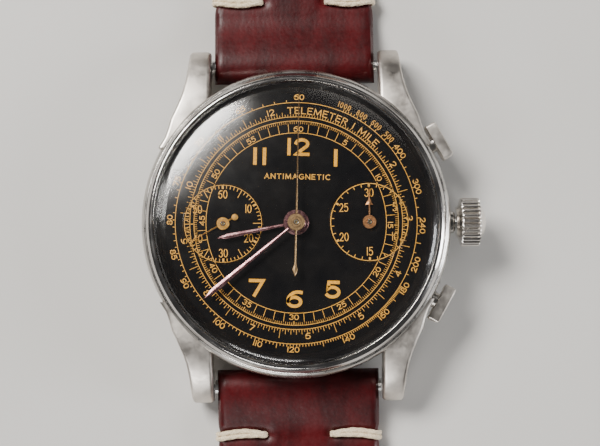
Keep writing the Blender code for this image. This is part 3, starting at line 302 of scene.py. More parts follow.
def plaster():
    """The pale floor."""
    look = Look("pale_floor", (0.56, 0.55, 0.53), 0.8)
    place = look.place()
    look.paint(look.grain(place, 0.02, 3.0), [(0.3, (0.54, 0.53, 0.51)), (0.7, (0.59, 0.58, 0.56))])
    look.raise_by(look.grain(place, 0.8, 3.0), 0.02, 0.2)
    return look.material


CASE_STEEL = steel("case_steel", (0.56, 0.54, 0.51), 0.15, 0.7)
# the lugs and pushers wear a lighter copy of the case's steel: the extra lightness is a painted highlight,
# for lugs that catch more light than the band
LIGHTENED_LUG_STEEL = steel("lug_steel_lightened", (0.76, 0.71, 0.65), 0.26, 0.9)
BEZEL_STEEL = steel("bezel_steel", (0.6, 0.58, 0.56), 0.08, 0.3, turned=True)
CROWN_STEEL = steel("crown_steel", (0.8, 0.76, 0.71), 0.16, 0.0)
BUCKLE_STEEL = steel("buckle_steel", (0.66, 0.65, 0.63), 0.12, 0.5)
BLACK = lacquer()
TRACK_GOLD = print_gold("track_gold", (0.92, 0.48, 0.085), 0.0)
NUMERAL_GOLD = print_gold("numeral_gold", (0.92, 0.44, 0.035), 0.0)
PLUM = oxidised()
HAND_GOLD = print_gold("hand_gold", (0.85, 0.48, 0.13), 1.0)
HAND_COPPER = print_gold("hand_copper", (0.56, 0.28, 0.13), 1.0)
SWEEP_GOLD = print_gold("sweep_gold", (0.42, 0.28, 0.15), 1.0)
TUBE_STEEL = steel("hand_tube_steel", (0.82, 0.78, 0.68), 0.16, 0.1)
CLEAR = acrylic()
BURGUNDY = leather("burgundy_top", (0.02, 0.0015, 0.002), (0.062, 0.003, 0.0045), 0.07)
THREAD = linen()
FLOOR = plaster()


# ---------------------------------------------------------------- mesh helpers


def shade(mesh, crease):
    """Smooth, but for edges sharper than this many degrees."""
    mesh.polygons.foreach_set("use_smooth", [True] * len(mesh.polygons))
    mesh.set_sharp_from_angle(angle=radians(crease))


def piece(name, points, faces, look, body=None, stands_for=(), slot=None, turn=None):
    """Makes an object from points in millimetres, riding a CAD body and standing for its nodes."""
    mesh = bpy.data.meshes.new(name)
    mesh.from_pydata([Vector(p) * MM for p in points], [], faces)
    if turn:
        mesh.transform(turn)
    mesh.materials.append(look)
    shade(mesh, CREASE)
    mesh.update()
    obj = bpy.data.objects.new(name, mesh)
    bpy.context.scene.collection.objects.link(obj)
    if stands_for:
        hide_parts(*stands_for)
    if body:
        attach(obj, body)
    return obj


def solid(*arguments, **more):
    """A piece with every face turned outwards."""
    obj = piece(*arguments, **more)
    shape = bmesh.new()
    shape.from_mesh(obj.data)
    bmesh.ops.recalc_face_normals(shape, faces=shape.faces)
    shape.to_mesh(obj.data)
    shape.free()
    obj.data.set_sharp_from_angle(angle=radians(CREASE))
    return obj


def cut_from(obj, cutter):
    """Applies a Boolean difference and removes the cutter."""
    modifier = obj.modifiers.new("cut", "BOOLEAN")
    modifier.object = cutter
    modifier.solver = "EXACT"
    bpy.context.view_layer.update()
    cut_mesh = bpy.data.meshes.new_from_object(obj.evaluated_get(bpy.context.evaluated_depsgraph_get()))
    obj.modifiers.clear()
    obj.data = cut_mesh
    bpy.data.objects.remove(cutter, do_unlink=True)
    shade(obj.data, CUT_CREASE)


def rectangle(half_width, half_height):
    return [
        (-half_width, -half_height),
        (half_width, -half_height),
        (half_width, half_height),
        (-half_width, half_height),
    ]


def softened(corners, radius, count=4, closed=True):
    """A 2-D outline with each corner rounded by up to this radius."""
    made = []
    for i, corner in enumerate(corners):
        if not closed and i in (0, len(corners) - 1):
            made.append(tuple(corner))
            continue
        here, before = Vector(corner), Vector(corners[i - 1])
        after = Vector(corners[(i + 1) % len(corners)])
        back, on = before - here, after - here
        reach = min(radius, back.length * 0.45, on.length * 0.45)
        start, end = here + back.normalized() * reach, here + on.normalized() * reach
        for k in range(count + 1):
            t = k / count
            made.append(tuple((1 - t) ** 2 * start + 2 * t * (1 - t) * here + t * t * end))
    return made


def divided(corners, step, closed=False):
    """A 2-D outline with each leg in equal parts of about this length. An open one loses its last point."""
    made = []
    for (ax, ay), (bx, by) in zip(corners, corners[1:] + (corners[:1] if closed else [])):
        parts = max(1, int(hypot(bx - ax, by - ay) / step))
        made += [(ax + (bx - ax) * k / parts, ay + (by - ay) * k / parts) for k in range(parts)]
    return made


def lathe_mesh(profile, steps, closed=True, wobble=None):
    """Points and faces of an outline (r, z) turned round Z. A point with r near 0 is one on the axis."""
    points, rows = [], []
    for r, z in profile:
        if r < 1e-6:
            rows.append([len(points)] * steps)
            points.append((0, 0, z))
            continue
        rows.append(list(range(len(points), len(points) + steps)))
        for k in range(steps):
            a = 2 * pi * k / steps
            reach = r + (wobble(r, z, a) if wobble else 0)
            points.append((reach * cos(a), reach * sin(a), z))
    faces = []
    pairs = list(zip(rows, rows[1:])) + ([(rows[-1], rows[0])] if closed else [])
    for near, far in pairs:
        for k in range(steps):
            j = (k + 1) % steps
            quad = [near[k], near[j], far[j], far[k]]
            unique = [v for n, v in enumerate(quad) if v not in quad[:n]]
            if len(unique) > 2:
                faces.append(unique)
    return points, faces


def joined(*meshes):
    """Several (points, faces) as one."""
    points, faces = [], []
    for more_points, more_faces in meshes:
        start = len(points)
        points += [tuple(p) for p in more_points]
        faces += [[v + start for v in face] for face in more_faces]
    return points, faces


def moved(mesh, matrix):
    points, faces = mesh
    return [tuple(matrix @ Vector(p)) for p in points], faces


def loft(rings, closed=False):
    """Skins a list of rings of points, each in the same order, with caps unless it closes on itself."""
    points, faces = [], []
    size = len(rings[0])
    for ring in rings:
        points += [tuple(p) for p in ring]
    pairs = [(i, i + 1) for i in range(len(rings) - 1)] + ([(len(rings) - 1, 0)] if closed else [])
    for a, b in pairs:
        for k in range(size):
            j = (k + 1) % size
            faces.append([a * size + k, a * size + j, b * size + j, b * size + k])
    if not closed:
        faces.append(list(range(size))[::-1])
        faces.append([(len(rings) - 1) * size + k for k in range(size)])
    return points, faces


def swept(path, section, up=Vector((0, 0, 1)), closed=False, scale=None, twist=0.0):
    """Carries a 2-D section (side, up) along a path of 3-D points."""
    rings = []
    count = len(path)
    path = [Vector(p) for p in path]
    for i, here in enumerate(path):
        before = path[i - 1] if i or closed else here
        after = path[(i + 1) % count] if i + 1 < count or closed else here
        along = (after - before).normalized()
        side = along.cross(up).normalized()
        top = side.cross(along)
        size = scale(i / (count - 1)) if scale else 1.0
        cosine, sine = cos(twist * i), sin(twist * i)
        turned = [(s * cosine - t * sine, s * sine + t * cosine) for s, t in section]
        rings.append([here + size * (side * s + top * t) for s, t in turned])
    return loft(rings, closed=closed)


def ring_points(radius, count):
    return [(radius * cos(2 * pi * k / count), radius * sin(2 * pi * k / count)) for k in range(count)]


def on_dial(angle, radius, centre=CENTRE):
    """The point at an angle clockwise from 12."""
    return centre[0] + radius * sin(radians(angle)), centre[1] + radius * cos(radians(angle))


TO_X = Matrix.Rotation(pi / 2, 4, "Y")  # a lathe's axis laid along +X


# ---------------------------------------------------------------- case


def dome_points(radius, edge, apex, count):
    """A shallow spherical dome from its centre out."""
    rise = apex - edge
    sphere = (radius * radius + rise * rise) / (2 * rise)
    angles = [asin(radius / sphere) * i / (count - 1) for i in range(count)]
    return [(sphere * sin(a), apex - sphere * (1 - cos(a))) for a in angles]


def lug_mesh(side_x, side_y):
    """One lug, lofted outwards from inside the case with a rounded section and a flare at its root."""
    # each station's y, outer x, low z and high z
    stations = (
        (9.2, 16.35, 3.7, 7.98),
        (10.4, 15.6, 3.6, 7.97),
        (11.5, 15.2, 3.45, 7.95),
        (12.6, 14.9, 3.3, 7.9),
        (13.6, 14.42, 3.15, 7.83),
        (14.6, 14.0, 3.0, 7.7),
        (15.6, 13.6, 2.72, 7.5),
        (16.6, 13.3, 2.4, 7.2),
        (17.6, 13.08, 2.05, 6.82),
        (18.6, 12.95, 1.7, 6.3),
        (19.4, 12.87, 1.42, 5.8),
        (20.2, 12.8, 1.24, 5.15),
        (20.8, 12.74, 1.25, 4.5),
        (21.2, 12.65, 1.45, 3.85),
        (21.38, 12.5, 1.8, 3.4),
        (LUG_TIP, 12.2, 2.2, 3.1),
    )
    rings = []
    for y, outer, low, high in stations:
        inner = LUG_IN + (0.25 if y > 21.3 else 0.0)
        ring = softened([(inner, low), (outer, low), (outer, high), (inner, high)], 0.42)
        rings.append([(side_x * x, side_y * y, z) for x, z in ring])
    return loft(rings)


def outwards_at(angle, height):
    """Lays a lathe's axis flat at this height, pointing away from the watch's centre."""
    return Matrix.Rotation(radians(angle), 4, "Z") @ Matrix.Translation((0, 0, height)) @ TO_X


def make_mid_case():
    """The band with the crown's neck and the pushers' bores, and the four lugs with room for the caps."""
    low, top = 2.58, CASE_TOP - 0.02
    profile = [(16.3, low), (WAIST_R, low), (WAIST_R, 3.4), (17.7, 3.85), (18.3, 4.25)]
    profile += [(FLANK_R, 4.8), (FLANK_R, 7.35), (18.28, 7.85), (17.98, top), (16.3, top)]
    band = lathe_mesh(softened(profile, 0.16, 3), 220)
    neck = [(1.35, 18.0), (1.35, 18.85), (1.15, 19.05), (0.62, 19.05), (0.62, 18.0)]
    neck = moved(lathe_mesh(softened(neck, 0.1, 3), 48), outwards_at(0, STEM_Z))
    obj = solid("case_band", *joined(band, neck), CASE_STEEL, "case", slot="polished_steel")
    both = (PUSHER_ANGLE, -PUSHER_ANGLE)
    bore = lathe_mesh([(0, 17.2), (0.95, 17.2), (0.95, 19.5), (0, 19.5)], 40, closed=False)
    bores = joined(*(moved(bore, outwards_at(a, PUSHER_Z)) for a in both))
    cut_from(obj, solid("pusher_bores", *bores, CASE_STEEL))
    four = joined(*(lug_mesh(x, y) for x in (1, -1) for y in (1, -1)))
    lugs = solid("case_lugs", *four, LIGHTENED_LUG_STEEL, "case", ("mid_case",), "polished_steel")
    room = loft([[(x, y, z + PUSHER_Z) for y, z in rectangle(2.42, 1.4)] for x in (FLANK_R + 0.02, 22.0)])
    rooms = joined(*(moved(room, Matrix.Rotation(radians(a), 4, "Z")) for a in both))
    cut_from(lugs, solid("pusher_rooms", *rooms, LIGHTENED_LUG_STEEL))
    for vertex in lugs.data.vertices:  # years of rubbing leave the lugs a little uneven
        vertex.co += Vector((1, 1, 1)) * 0.035 * MM * noise.noise(vertex.co * 900)


def make_bezel():
    """The polished ring, and the black ring that slopes from the crystal down to the dial."""
    low = CASE_TOP + 0.03
    slope = ((BEZEL_IN_R, 0.02), (17.02, 0), (17.22, 0.02), (17.5, 0.24), (17.72, 0.58), (17.78, 0.7))
    profile = [(r, BEZEL_TOP - drop) for r, drop in slope]
    profile += [(BEZEL_OUT_R, BEZEL_TOP - 0.74), (BEZEL_OUT_R, low), (BEZEL_IN_R, low)]
    ring = lathe_mesh(softened(profile, 0.06, 3), 240)
    solid("bezel_ring", *ring, BEZEL_STEEL, "case", ("bezel",), "polished_steel")
    rehaut = [(15.55, 8.05), (16.6, 9.0), (16.78, 9.0), (16.78, 8.25), (16.2, 8.25), (15.6, 8.04)]
    solid("inner_ring", *lathe_mesh(rehaut, 200), BLACK, "case", slot="black_enamel")


def make_crystal():
    """A hollow dome with a rounded shoulder, standing in the bezel."""
    low = CASE_TOP + 0.07
    inner = CRYSTAL_R - CRYSTAL_WALL
    outside = dome_points(CRYSTAL_R - 0.45, CRYSTAL_EDGE + 0.12, CRYSTAL_APEX, 22)
    corners = [outside[-1], (CRYSTAL_R, CRYSTAL_EDGE - 0.35), (CRYSTAL_R, low)]
    shoulder = softened(corners, 0.5, 8, closed=False)[1:]
    inside = dome_points(inner, CRYSTAL_EDGE - 0.55, CRYSTAL_APEX - CRYSTAL_WALL, 16)
    dome = lathe_mesh(outside + shoulder + [(inner, low)] + inside[::-1], 200, closed=False)
    solid("crystal_dome", *dome, CLEAR, "case", ("crystal",), "acrylic")


def make_case_back():
    """A screwed cover with six notches for the tool that turns it."""
    profile = [(0, 0), (12, 0), (13.2, 0.12), (16.4, 0.9), (17, 1.3), (17, 2.48), (16.2, 2.48), (16.0, 1.4)]
    body = lathe_mesh(softened([*profile, (0, 1.0)], 0.25, closed=False), 200, closed=False)
    obj = solid("case_back_cover", *body, CASE_STEEL, "case", ("case_back",), "polished_steel")
    cutters = []
    for k in range(6):
        a = pi / 3 * k + 0.2
        corners = ((15.3, -0.9), (17.4, -0.9), (17.4, 0.9), (15.3, 0.9))
        ring = [(r * cos(a) - s * sin(a), r * sin(a) + s * cos(a)) for r, s in corners]
        cutters.append(loft([[(x, y, z) for x, y in ring] for z in (-1, 1.0)]))
    cut_from(obj, solid("notches", *joined(*cutters), CASE_STEEL))


def make_crown():
    """Knurled, with a plain collar inside and a stepped, domed end."""
    plain_r, groove = 2.5, 0.36

    def knurl(r, x, a):
        if r < plain_r or not CROWN_IN + 0.12 < x < CROWN_OUT - 0.08:
            return 0.0
        return -groove * (1 - abs(cos(a * CROWN_TEETH / 2)) ** 0.7)

    profile = [(0.6, 19.25), (1.75, 19.25), (1.95, 19.5), (2.3, 19.62), (2.55, CROWN_IN)]
    profile += [(CROWN_R - 0.1, CROWN_IN + 0.08), (CROWN_R, CROWN_IN + 0.22)]
    profile += [(CROWN_R, CROWN_IN + 0.3 + 0.2 * k) for k in range(9)]
    profile += [(CROWN_R, CROWN_OUT - 0.14), (CROWN_R - 0.12, CROWN_OUT)]
    profile += [(2.42, CROWN_OUT + 0.03), (2.3, CROWN_OUT + 0.08)]
    profile += dome_points(2.2, CROWN_OUT + 0.12, CROWN_END - 0.02, 12)[::-1]
    body = lathe_mesh(profile, CROWN_TEETH * 12, closed=False, wobble=knurl)
    body = moved(body, outwards_at(0, STEM_Z))
    solid("crown_fluted", *body, CROWN_STEEL, "crown", ("crown",), "polished_steel")


def make_pusher(name, angle, body):
    """A rectangular cap with a curved outer face, and its stem."""
    half_width, half_height = 2.3, 1.28
    rings = []
    for depth, grow in ((0.0, -0.14), (0.06, 0.0), (0.5, 0.0), (0.95, 0.0), (1.2, -0.03), (1.32, -0.16)):
        ring = []
        for s, z in softened(rectangle(half_width + grow, half_height + grow), 0.34, 5):
            bulge = 0.16 * (1 - (s / half_width) ** 2) if depth > 0.9 else 0.0
            ring.append((PUSHER_IN + depth + 0.02 + bulge * 0.6, s, z + PUSHER_Z))
        rings.append(ring)
    stem = [(0.45, PUSHER_IN + 0.4), (0.45, 14.3), (0, 14.3)]
    rod = moved(lathe_mesh(stem, 32, closed=False), outwards_at(0, PUSHER_Z))
    turn = Matrix.Rotation(radians(angle), 4, "Z")
    solid(name + "_cap", *joined(loft(rings), rod), LIGHTENED_LUG_STEEL, body, (name,), "polished_steel", turn=turn)


make_mid_case()
make_bezel()
make_crystal()
make_case_back()
make_crown()
make_pusher("pusher_start_stop", PUSHER_ANGLE, "start_stop_pusher")
make_pusher("pusher_reset", -PUSHER_ANGLE, "reset_pusher")


# ---------------------------------------------------------------- lettering, drawn with strokes


def bow(x, y, rx, ry, start, end, count=14):
    """Points of an elliptical arc, in degrees anticlockwise from +X."""
    angles = [radians(start + (end - start) * i / (count - 1)) for i in range(count)]
    return [(x + rx * cos(a), y + ry * sin(a)) for a in angles]


SIX = [bow(0.44, 0.4, 0.44, 0.58, 72, 180, 9) + bow(0.28, 0.31, 0.28, 0.31, 180, 540, 22)]
BOWL = [(0, 0), (0, 1), (0.26, 1)] + bow(0.26, 0.75, 0.24, 0.25, 85, -85, 9) + [(0, 0.5)]
# each glyph's width and strokes, in units of its height
GLYPHS = {
    "0": (0.56, [bow(0.28, 0.5, 0.28, 0.5, 90, 450, 26)]),
    "1": (0.1, [[(0.05, 0), (0.05, 1)]]),
    "2": (0.54, [bow(0.27, 0.72, 0.26, 0.28, 170, -38, 12) + [(0.02, 0), (0.55, 0)]]),
    "3": (0.52, [bow(0.25, 0.75, 0.24, 0.25, 155, -80, 12) + bow(0.25, 0.27, 0.27, 0.27, 80, -155, 14)]),
    "4": (0.6, [[(0.44, 0), (0.44, 1), (0, 0.28), (0.6, 0.28)]]),
    "5": (0.54, [[(0.5, 1), (0.09, 1), (0.06, 0.56)] + bow(0.25, 0.33, 0.29, 0.33, 122, -145, 16)]),
    "6": (0.56, SIX),
    "7": (0.56, [[(0, 1), (0.56, 1), (0.2, 0)]]),
    "8": (0.56, [bow(0.28, 0.76, 0.22, 0.24, -90, 270, 18) + bow(0.28, 0.26, 0.28, 0.26, 90, 450, 20)]),
    "9": (0.56, [[(0.56 - x, 1 - y) for x, y in stroke] for stroke in SIX]),
    "A": (0.66, [[(0, 0), (0.33, 1), (0.66, 0)], [(0.12, 0.34), (0.54, 0.34)]]),
    "C": (0.62, [bow(0.38, 0.5, 0.38, 0.5, 52, 308, 18)]),
    "E": (0.5, [[(0.5, 1), (0, 1), (0, 0), (0.5, 0)], [(0, 0.52), (0.42, 0.52)]]),
    "G": (0.7, [bow(0.38, 0.5, 0.38, 0.5, 52, 330, 18) + [(0.7, 0.45), (0.42, 0.45)]]),
    "I": (0.1, [[(0.05, 0), (0.05, 1)]]),
    "L": (0.46, [[(0, 1), (0, 0), (0.46, 0)]]),
    "M": (0.78, [[(0, 0), (0.06, 1), (0.39, 0.12), (0.72, 1), (0.78, 0)]]),
    "N": (0.62, [[(0, 0), (0, 1), (0.62, 0), (0.62, 1)]]),
    "R": (0.54, [BOWL, [(0.24, 0.5), (0.54, 0)]]),
    "T": (0.58, [[(0, 1), (0.58, 1)], [(0.29, 1), (0.29, 0)]]),
    " ": (0.28, []),
}


def dial_z(x, y):
    """The dial's surface: flat, with two sunk sub-dials that have a sloped edge."""
    deepest = 0.0
    for centre in (-SUB_X, SUB_X):
        inside = (RECESS_R + 0.06 - hypot(x - centre, y)) / 0.16
        deepest = max(deepest, min(1.0, max(0.0, inside)))
    return DIAL_TOP - RECESS_DEPTH * deepest


class Print:
    """Thin print that lies on the dial, gathered into one mesh."""

    lift = 0.012

    def __init__(self, turn=DIAL_TURN):
        self.points, self.faces = [], []
        self.turn = radians(turn)

    def strip(self, edges):
        """A run of quads between pairs of opposite edge points (x, y)."""
        start = len(self.points)
        for pair in edges:
            for a, b in pair:
                x = a * cos(self.turn) + b * sin(self.turn)
                y = b * cos(self.turn) - a * sin(self.turn)
                self.points.append((x, y, dial_z(x, y) + self.lift))
        for i in range(len(edges) - 1):
            a = start + 2 * i
            face = [a, a + 1, a + 3, a + 2]
            one, two, three = (Vector(self.points[v]) for v in face[:3])
            faces_up = (two - one).cross(three - one).z > 0
            self.faces.append(face if faces_up else face[::-1])

    def stroke(self, path, width):
        """A line along 2-D points, with mitred corners and square ends that reach a little past."""
        path = [Vector(p) for p in path]
        half = width / 2
        path[0] = path[0] + (path[0] - path[1]).normalized() * half * 0.9
        path[-1] = path[-1] + (path[-1] - path[-2]).normalized() * half * 0.9
        edges = []
        for i, here in enumerate(path):
            before = (here - path[i - 1]).normalized() if i else None
            after = (path[i + 1] - here).normalized() if i + 1 < len(path) else None
            into, out = before or after, after or before
            middle = (into + out).normalized() if (into + out).length > 1e-6 else out
            side = Vector((-middle.y, middle.x))
            across = abs(side.dot(Vector((-out.y, out.x))))
            reach = half / max(across, 0.45)
            edges.append([tuple(here + side * reach), tuple(here - side * reach)])
        self.strip(edges)

    def circle(self, radius, width, centre=CENTRE, count=360):
        angles = [360 * k / count for k in range(count + 1)]
        self.strip([[on_dial(a, radius + s * width / 2, centre) for s in (-1, 1)] for a in angles])

    def tick(self, angle, start, end, width, centre=CENTRE):
        """A radial mark. It is cut into short lengths, so that it follows a sub-dial's edge."""
        longest = 0.12
        out = Vector(on_dial(angle, 1))
        side = Vector((out.y, -out.x)) * width / 2
        count = max(1, int(abs(end - start) / longest))
        edges = []
        for k in range(count + 1):
            here = Vector(centre) + out * (start + (end - start) * k / count)
            edges.append([tuple(here - side), tuple(here + side)])
        self.strip(edges)

    def write(self, text, height, width, where, spacing=0.16, squeeze=1.0):
        """Text centred on the origin of where(x, y), a map from along and up to the dial."""
        total = sum(GLYPHS[c][0] * squeeze + spacing for c in text) - spacing
        x = -total / 2
        for letter in text:
            glyph_width, strokes = GLYPHS[letter]
            for path in strokes:
                fine = []
                for (u, v), (to_u, to_v) in zip(path, path[1:]):
                    parts = 4 if hypot(u - to_u, v - to_v) > 0.3 else 1
                    fine += [(u + (to_u - u) * k / parts, v + (to_v - v) * k / parts) for k in range(parts)]
                fine.append(path[-1])
                self.stroke([where((x + u * squeeze) * height, (v - 0.5) * height) for u, v in fine], width)
            x += glyph_width * squeeze + spacing

    def around(self, text, angle, radius, height, width, flipped=False, **more):
        """Text that follows a circle, with its top outwards or, flipped, inwards."""
        sign = -1 if flipped else 1

        def where(x, y):
            return on_dial(angle + sign * degrees(x / radius), radius + sign * y)

        self.write(text, height, width, where, **more)

    def upright(self, text, centre, height, width, **more):
        self.write(text, height, width, lambda x, y: (centre[0] + x, centre[1] + y), **more)

    def made(self, name, look):
        piece(name, self.points, self.faces, look, "case", slot="gilt_brass")


WIDE = {"spacing": 0.3, "squeeze": 1.45}  # the tracks' numbers are wide and loosely set
CIRCLE = 0.07  # the width of the tracks' circles


def faces_inward(angle):
    """Whether a number here has its top towards the centre, as all have in the dial's lower half."""
    return 93 < angle % 360 < 267


# ---------------------------------------------------------------- dial


def make_dial():
    """The plate, with both sub-dials sunk and a hole through each of their centres."""
    plate = [(0.98, 7.62), (0.98, DIAL_TOP), (DIAL_R - 0.08, DIAL_TOP)]
    plate += [(DIAL_R, DIAL_TOP - 0.08), (DIAL_R, 7.62)]
    obj = solid("dial_plate", *lathe_mesh(plate, 240), BLACK, "case", ("dial",), "black_enamel")
    floor, edge = DIAL_TOP - RECESS_DEPTH, RECESS_R + 0.06
    sunk = [(0, floor), (RECESS_R - 0.1, floor), (edge, DIAL_TOP + 0.01), (edge, 9), (0, 9)]
    bore = [(0, 7), (0.34, 7), (0.34, 9), (0, 9)]
    for side in (-1, 1):
        at = Matrix.Translation((side * SUB_X, 0, 0))
        for profile, steps in ((sunk, 140), (bore, 32)):
            cutter = moved(lathe_mesh(profile, steps, closed=False), at)
            cut_from(obj, solid("sub_dial_cutter", *cutter, BLACK))


def print_minute_track():
    """A mark for each fifth of a second, a longer one for each second, and a number for each fifth second."""
    ink = Print()
    outer, inner = 12.16, 10.73
    ink.circle(outer, CIRCLE)
    ink.circle(inner, CIRCLE)
    for fifth in range(300):
        ink.tick(fifth * 1.2, outer - 0.36, outer, 0.045)
    for minute in range(60):
        if minute % 5:
            ink.tick(minute * 6, inner, outer, 0.06)
        else:
            ink.tick(minute * 6, outer - 0.46, outer, 0.12)
            ink.around(str(minute or 60), minute * 6, 11.2, 0.56, 0.09, faces_inward(minute * 6), **WIDE)
    ink.made("print_minute_track", TRACK_GOLD)


def print_telemetre():
    """Miles between a flash and its sound: one turn of the hand is twelve and a half."""
    ink = Print()
    base, mile = 12.65, 28.8
    ink.circle(base, CIRCLE)
    for step in range(250):
        angle = step * mile / 20
        under_words = angle < 46 or angle > 352.5
        length = 0.3
        if step % 2 == 0 and not under_words:
            length = 0.6
            if step % 10 == 0:
                length = 1.15 if step % 20 else 0.45
        ink.tick(angle, base, base + length, 0.055)
    for number in range(2, 13):
        angle = number * mile
        ink.around(str(number), angle, 13.48, 0.66, 0.1, faces_inward(angle), **WIDE)
    ink.around("TELEMETER 1 MILE", 19.5, 13.42, 0.72, 0.105, spacing=0.37, squeeze=1.45)
    ink.made("print_telemetre", TRACK_GOLD)


def print_tachymetre():
    """Speed over a measured mile: the hand's angle for a speed N is a full turn times 60 over N."""
    ink = Print()
    base, turns = 14.37, 360 * 60
    ink.circle(base, CIRCLE)
    ticks = list(range(60, 181)) + [190, 200, 210, 220, 230, 240, 250, 265, 280, 300, 325, 350, 375]
    ticks += list(range(400, 501, 25)) + list(range(550, 1001, 50))
    long_ticks = (105, 115, 130, 150, 170, 220)
    for speed in ticks:
        ink.tick(turns / speed, base, base + (0.62 if speed in long_ticks else 0.32), 0.075)
    for speed in (60, 65, 70, 75, 80, 85, 90, 100, 110, 120, 140, 160, 180, 200, 240, 300, 400):
        angle = turns / speed % 360
        ink.around(str(speed), angle, 15.03, 0.58, 0.1, faces_inward(angle), **WIDE)
    for speed, angle in ((500, 45.8), (600, 38.0), (800, 29.9), (1000, 21.2)):  # crowded, so narrow and fine
        ink.around(str(speed), angle, 15.08, 0.6, 0.07, spacing=0.36, squeeze=0.8)
    ink.made("print_tachymetre", TRACK_GOLD)


def print_sub_dials():
    """60 seconds on the left and 30 minutes on the right, square to the case."""
    ink = Print(0.0)
    rim, reach, thin, thick = 4.6, 3.5, 0.08, 0.24
    for centre, line, last, numbered in ((LEFT, 0.06, 60, 10), (RIGHT, 0.09, 30, 5)):
        step = 360 / last
        ink.circle(rim, line, centre, 180)
        for mark in range(last):
            length = 0.4
            if centre is LEFT:
                length = {0: 0.46, 5: 1.05}.get(mark % 10, 0.42)
            ink.tick(mark * step, rim - length, rim, thin if mark % numbered else thick, centre)
        for mark in range(numbered, last + 1, numbered):
            where = on_dial(mark * step, reach, centre)
            ink.upright(str(mark), where, 0.92, 0.1, spacing=0.2, squeeze=0.8)
    ink.made("print_sub_dials", TRACK_GOLD)


def print_numerals():
    """The large upright numerals and a word that any such watch may carry."""
    ink = Print()
    reach, height = 9.05, 2.12
    for number, angle in (("11", 330), ("1", 30), ("5", 150), ("6", 180), ("7", 210), ("12", 0)):
        bold = 0.42 if number in ("1", "11") else 0.39
        gap = {"11": 0.5, "12": 0.38}.get(number, 0.2)
        size = height - bold
        ink.upright(number, on_dial(angle, reach), size, bold, spacing=gap, squeeze=1.55)
    ink.made("print_numerals", NUMERAL_GOLD)
    word = Print()
    word.upright("ANTIMAGNETIC", (0.0, 5.5), 0.56, 0.1, spacing=0.44, squeeze=1.38)
    word.made("print_word", TRACK_GOLD)


# ---------------------------------------------------------------- hands


def hand_mesh(stations, low, high):
    """A hand along +Y. Each station is (y, half width). The top rises to a ridge."""
    rings = []
    for y, half in stations:
        flat, side = half * 0.08, high - 0.1
        outline = [(-half, low), (half, low), (half, side), (flat, high), (-flat, high), (-half, side)]
        rings.append([(x, y, z) for x, z in outline])
    return loft(rings)


def hub_mesh(inner, outer, low, high, rim=0.05):
    profile = [(inner, low), (outer, low), (outer, high - rim)]
    profile += [(outer - rim, high), (inner + rim, high), (inner, high - rim)]
    return lathe_mesh(profile, 64)


def make_hand(name, meshes, at, angle, look, body, slot, stands_for):
    turn = Matrix.Translation(Vector((*at, 0)) * MM) @ Matrix.Rotation(-radians(angle), 4, "Z")
    solid(name, *joined(*meshes), look, body, (stands_for,), slot, turn)


def make_hands():
    hour = [(-1.2, 0.13), (0.9, 0.14), (4.5, 0.2), (7.6, 0.275), (8.3, 0.28), (8.75, 0.22), (9.3, 0.1)]
    hour = [hand_mesh([*hour, (9.6, 0.02)], 8.5, 8.7), hub_mesh(0.94, 1.5, 8.49, 8.83)]
    names = ("hours", "oxidised_steel", "hour_hand")
    make_hand("hour_hand_plum", hour, CENTRE, HOUR_ANGLE, PLUM, *names)

    minute = [(-1.0, 0.13), (0.8, 0.14), (6.0, 0.21), (11.6, 0.32), (12.5, 0.325), (13.1, 0.25), (13.8, 0.1)]
    minute = [hand_mesh([*minute, (14.2, 0.02)], 8.95, 9.14), hub_mesh(0.66, 1.16, 8.94, 9.25)]
    names = ("minutes", "oxidised_steel", "minute_hand")
    make_hand("minute_hand_plum", minute, CENTRE, MINUTE_ANGLE, PLUM, *names)

    sweep = [(-6.4, 0.02), (-6.05, 0.17), (-5.6, 0.3), (-5.25, 0.2), (-4.9, 0.1), (-1, 0.1), (0.6, 0.11)]
    sweep = [hand_mesh([*sweep, (6, 0.1), (15.3, 0.05)], 9.36, 9.5)]
    sweep += [hub_mesh(0.2, 1.02, 9.35, 9.55), hub_mesh(0.3, 0.62, 9.5, 9.66)]
    names = ("chronograph", "gilt_brass", "chronograph_hand")
    make_hand("chronograph_hand_gilt", sweep, CENTRE, DIAL_TURN, SWEEP_GOLD, *names)

    seconds = [(-1.3, 0.09), (0.5, 0.1), (2.0, 0.08), (4.4, 0.035)]
    ball = [(0, 8.11), (0.38, 8.11), (0.4, 8.2), (0.34, 8.26), (0, 8.28)]
    ball = moved(lathe_mesh(ball, 40, closed=False), Matrix.Translation((0, -1.6, 0)))
    seconds = [hand_mesh(seconds, 8.12, 8.24), ball]
    seconds += [hub_mesh(0.28, 0.76, 8.1, 8.3), hub_mesh(0.3, 0.5, 8.28, 8.36)]
    names = ("seconds", "gilt_brass", "small_seconds_hand")
    make_hand("small_seconds_hand_gilt", seconds, LEFT, SECONDS_ANGLE, HAND_GOLD, *names)

    counter = [(-0.6, 0.09), (2.02, 0.09), (2.04, 0.46), (2.2, 0.34), (2.8, 0.1), (4.4, 0.035)]
    counter = [hand_mesh(counter, 8.12, 8.24), hub_mesh(0.24, 0.8, 8.1, 8.3), hub_mesh(0.3, 0.5, 8.28, 8.36)]
    names = ("minute_counter", "rose_gilt", "minute_counter_hand")
    make_hand("minute_counter_hand_copper", counter, RIGHT, 0, HAND_COPPER, *names)

    tubes = (
        ("sweep", CENTRE, 9.4, 9.8, "chronograph"),
        ("seconds", LEFT, 8.2, 8.5, "seconds"),
        ("counter", RIGHT, 8.2, 8.5, "minute_counter"),
    )
    for name, at, low, high, body in tubes:
        tube = moved(hub_mesh(0.13, 0.29, low, high), Matrix.Translation((*at, 0)))
        solid(name + "_hand_tube", *tube, TUBE_STEEL, body, slot="polished_steel")


make_dial()
print_minute_track()
print_telemetre()
print_tachymetre()
print_sub_dials()
print_numerals()
make_hands()


# ---------------------------------------------------------------- strap

STITCH_AT = {1: 27.7, -1: 25.4}  # how far out each half's tacks sit
STITCH_X, THREAD_R, THREAD_GAP = 4.1, 0.3, 0.27
LOOP_R = 2.1  # the outside of the leather that turns over a spring bar


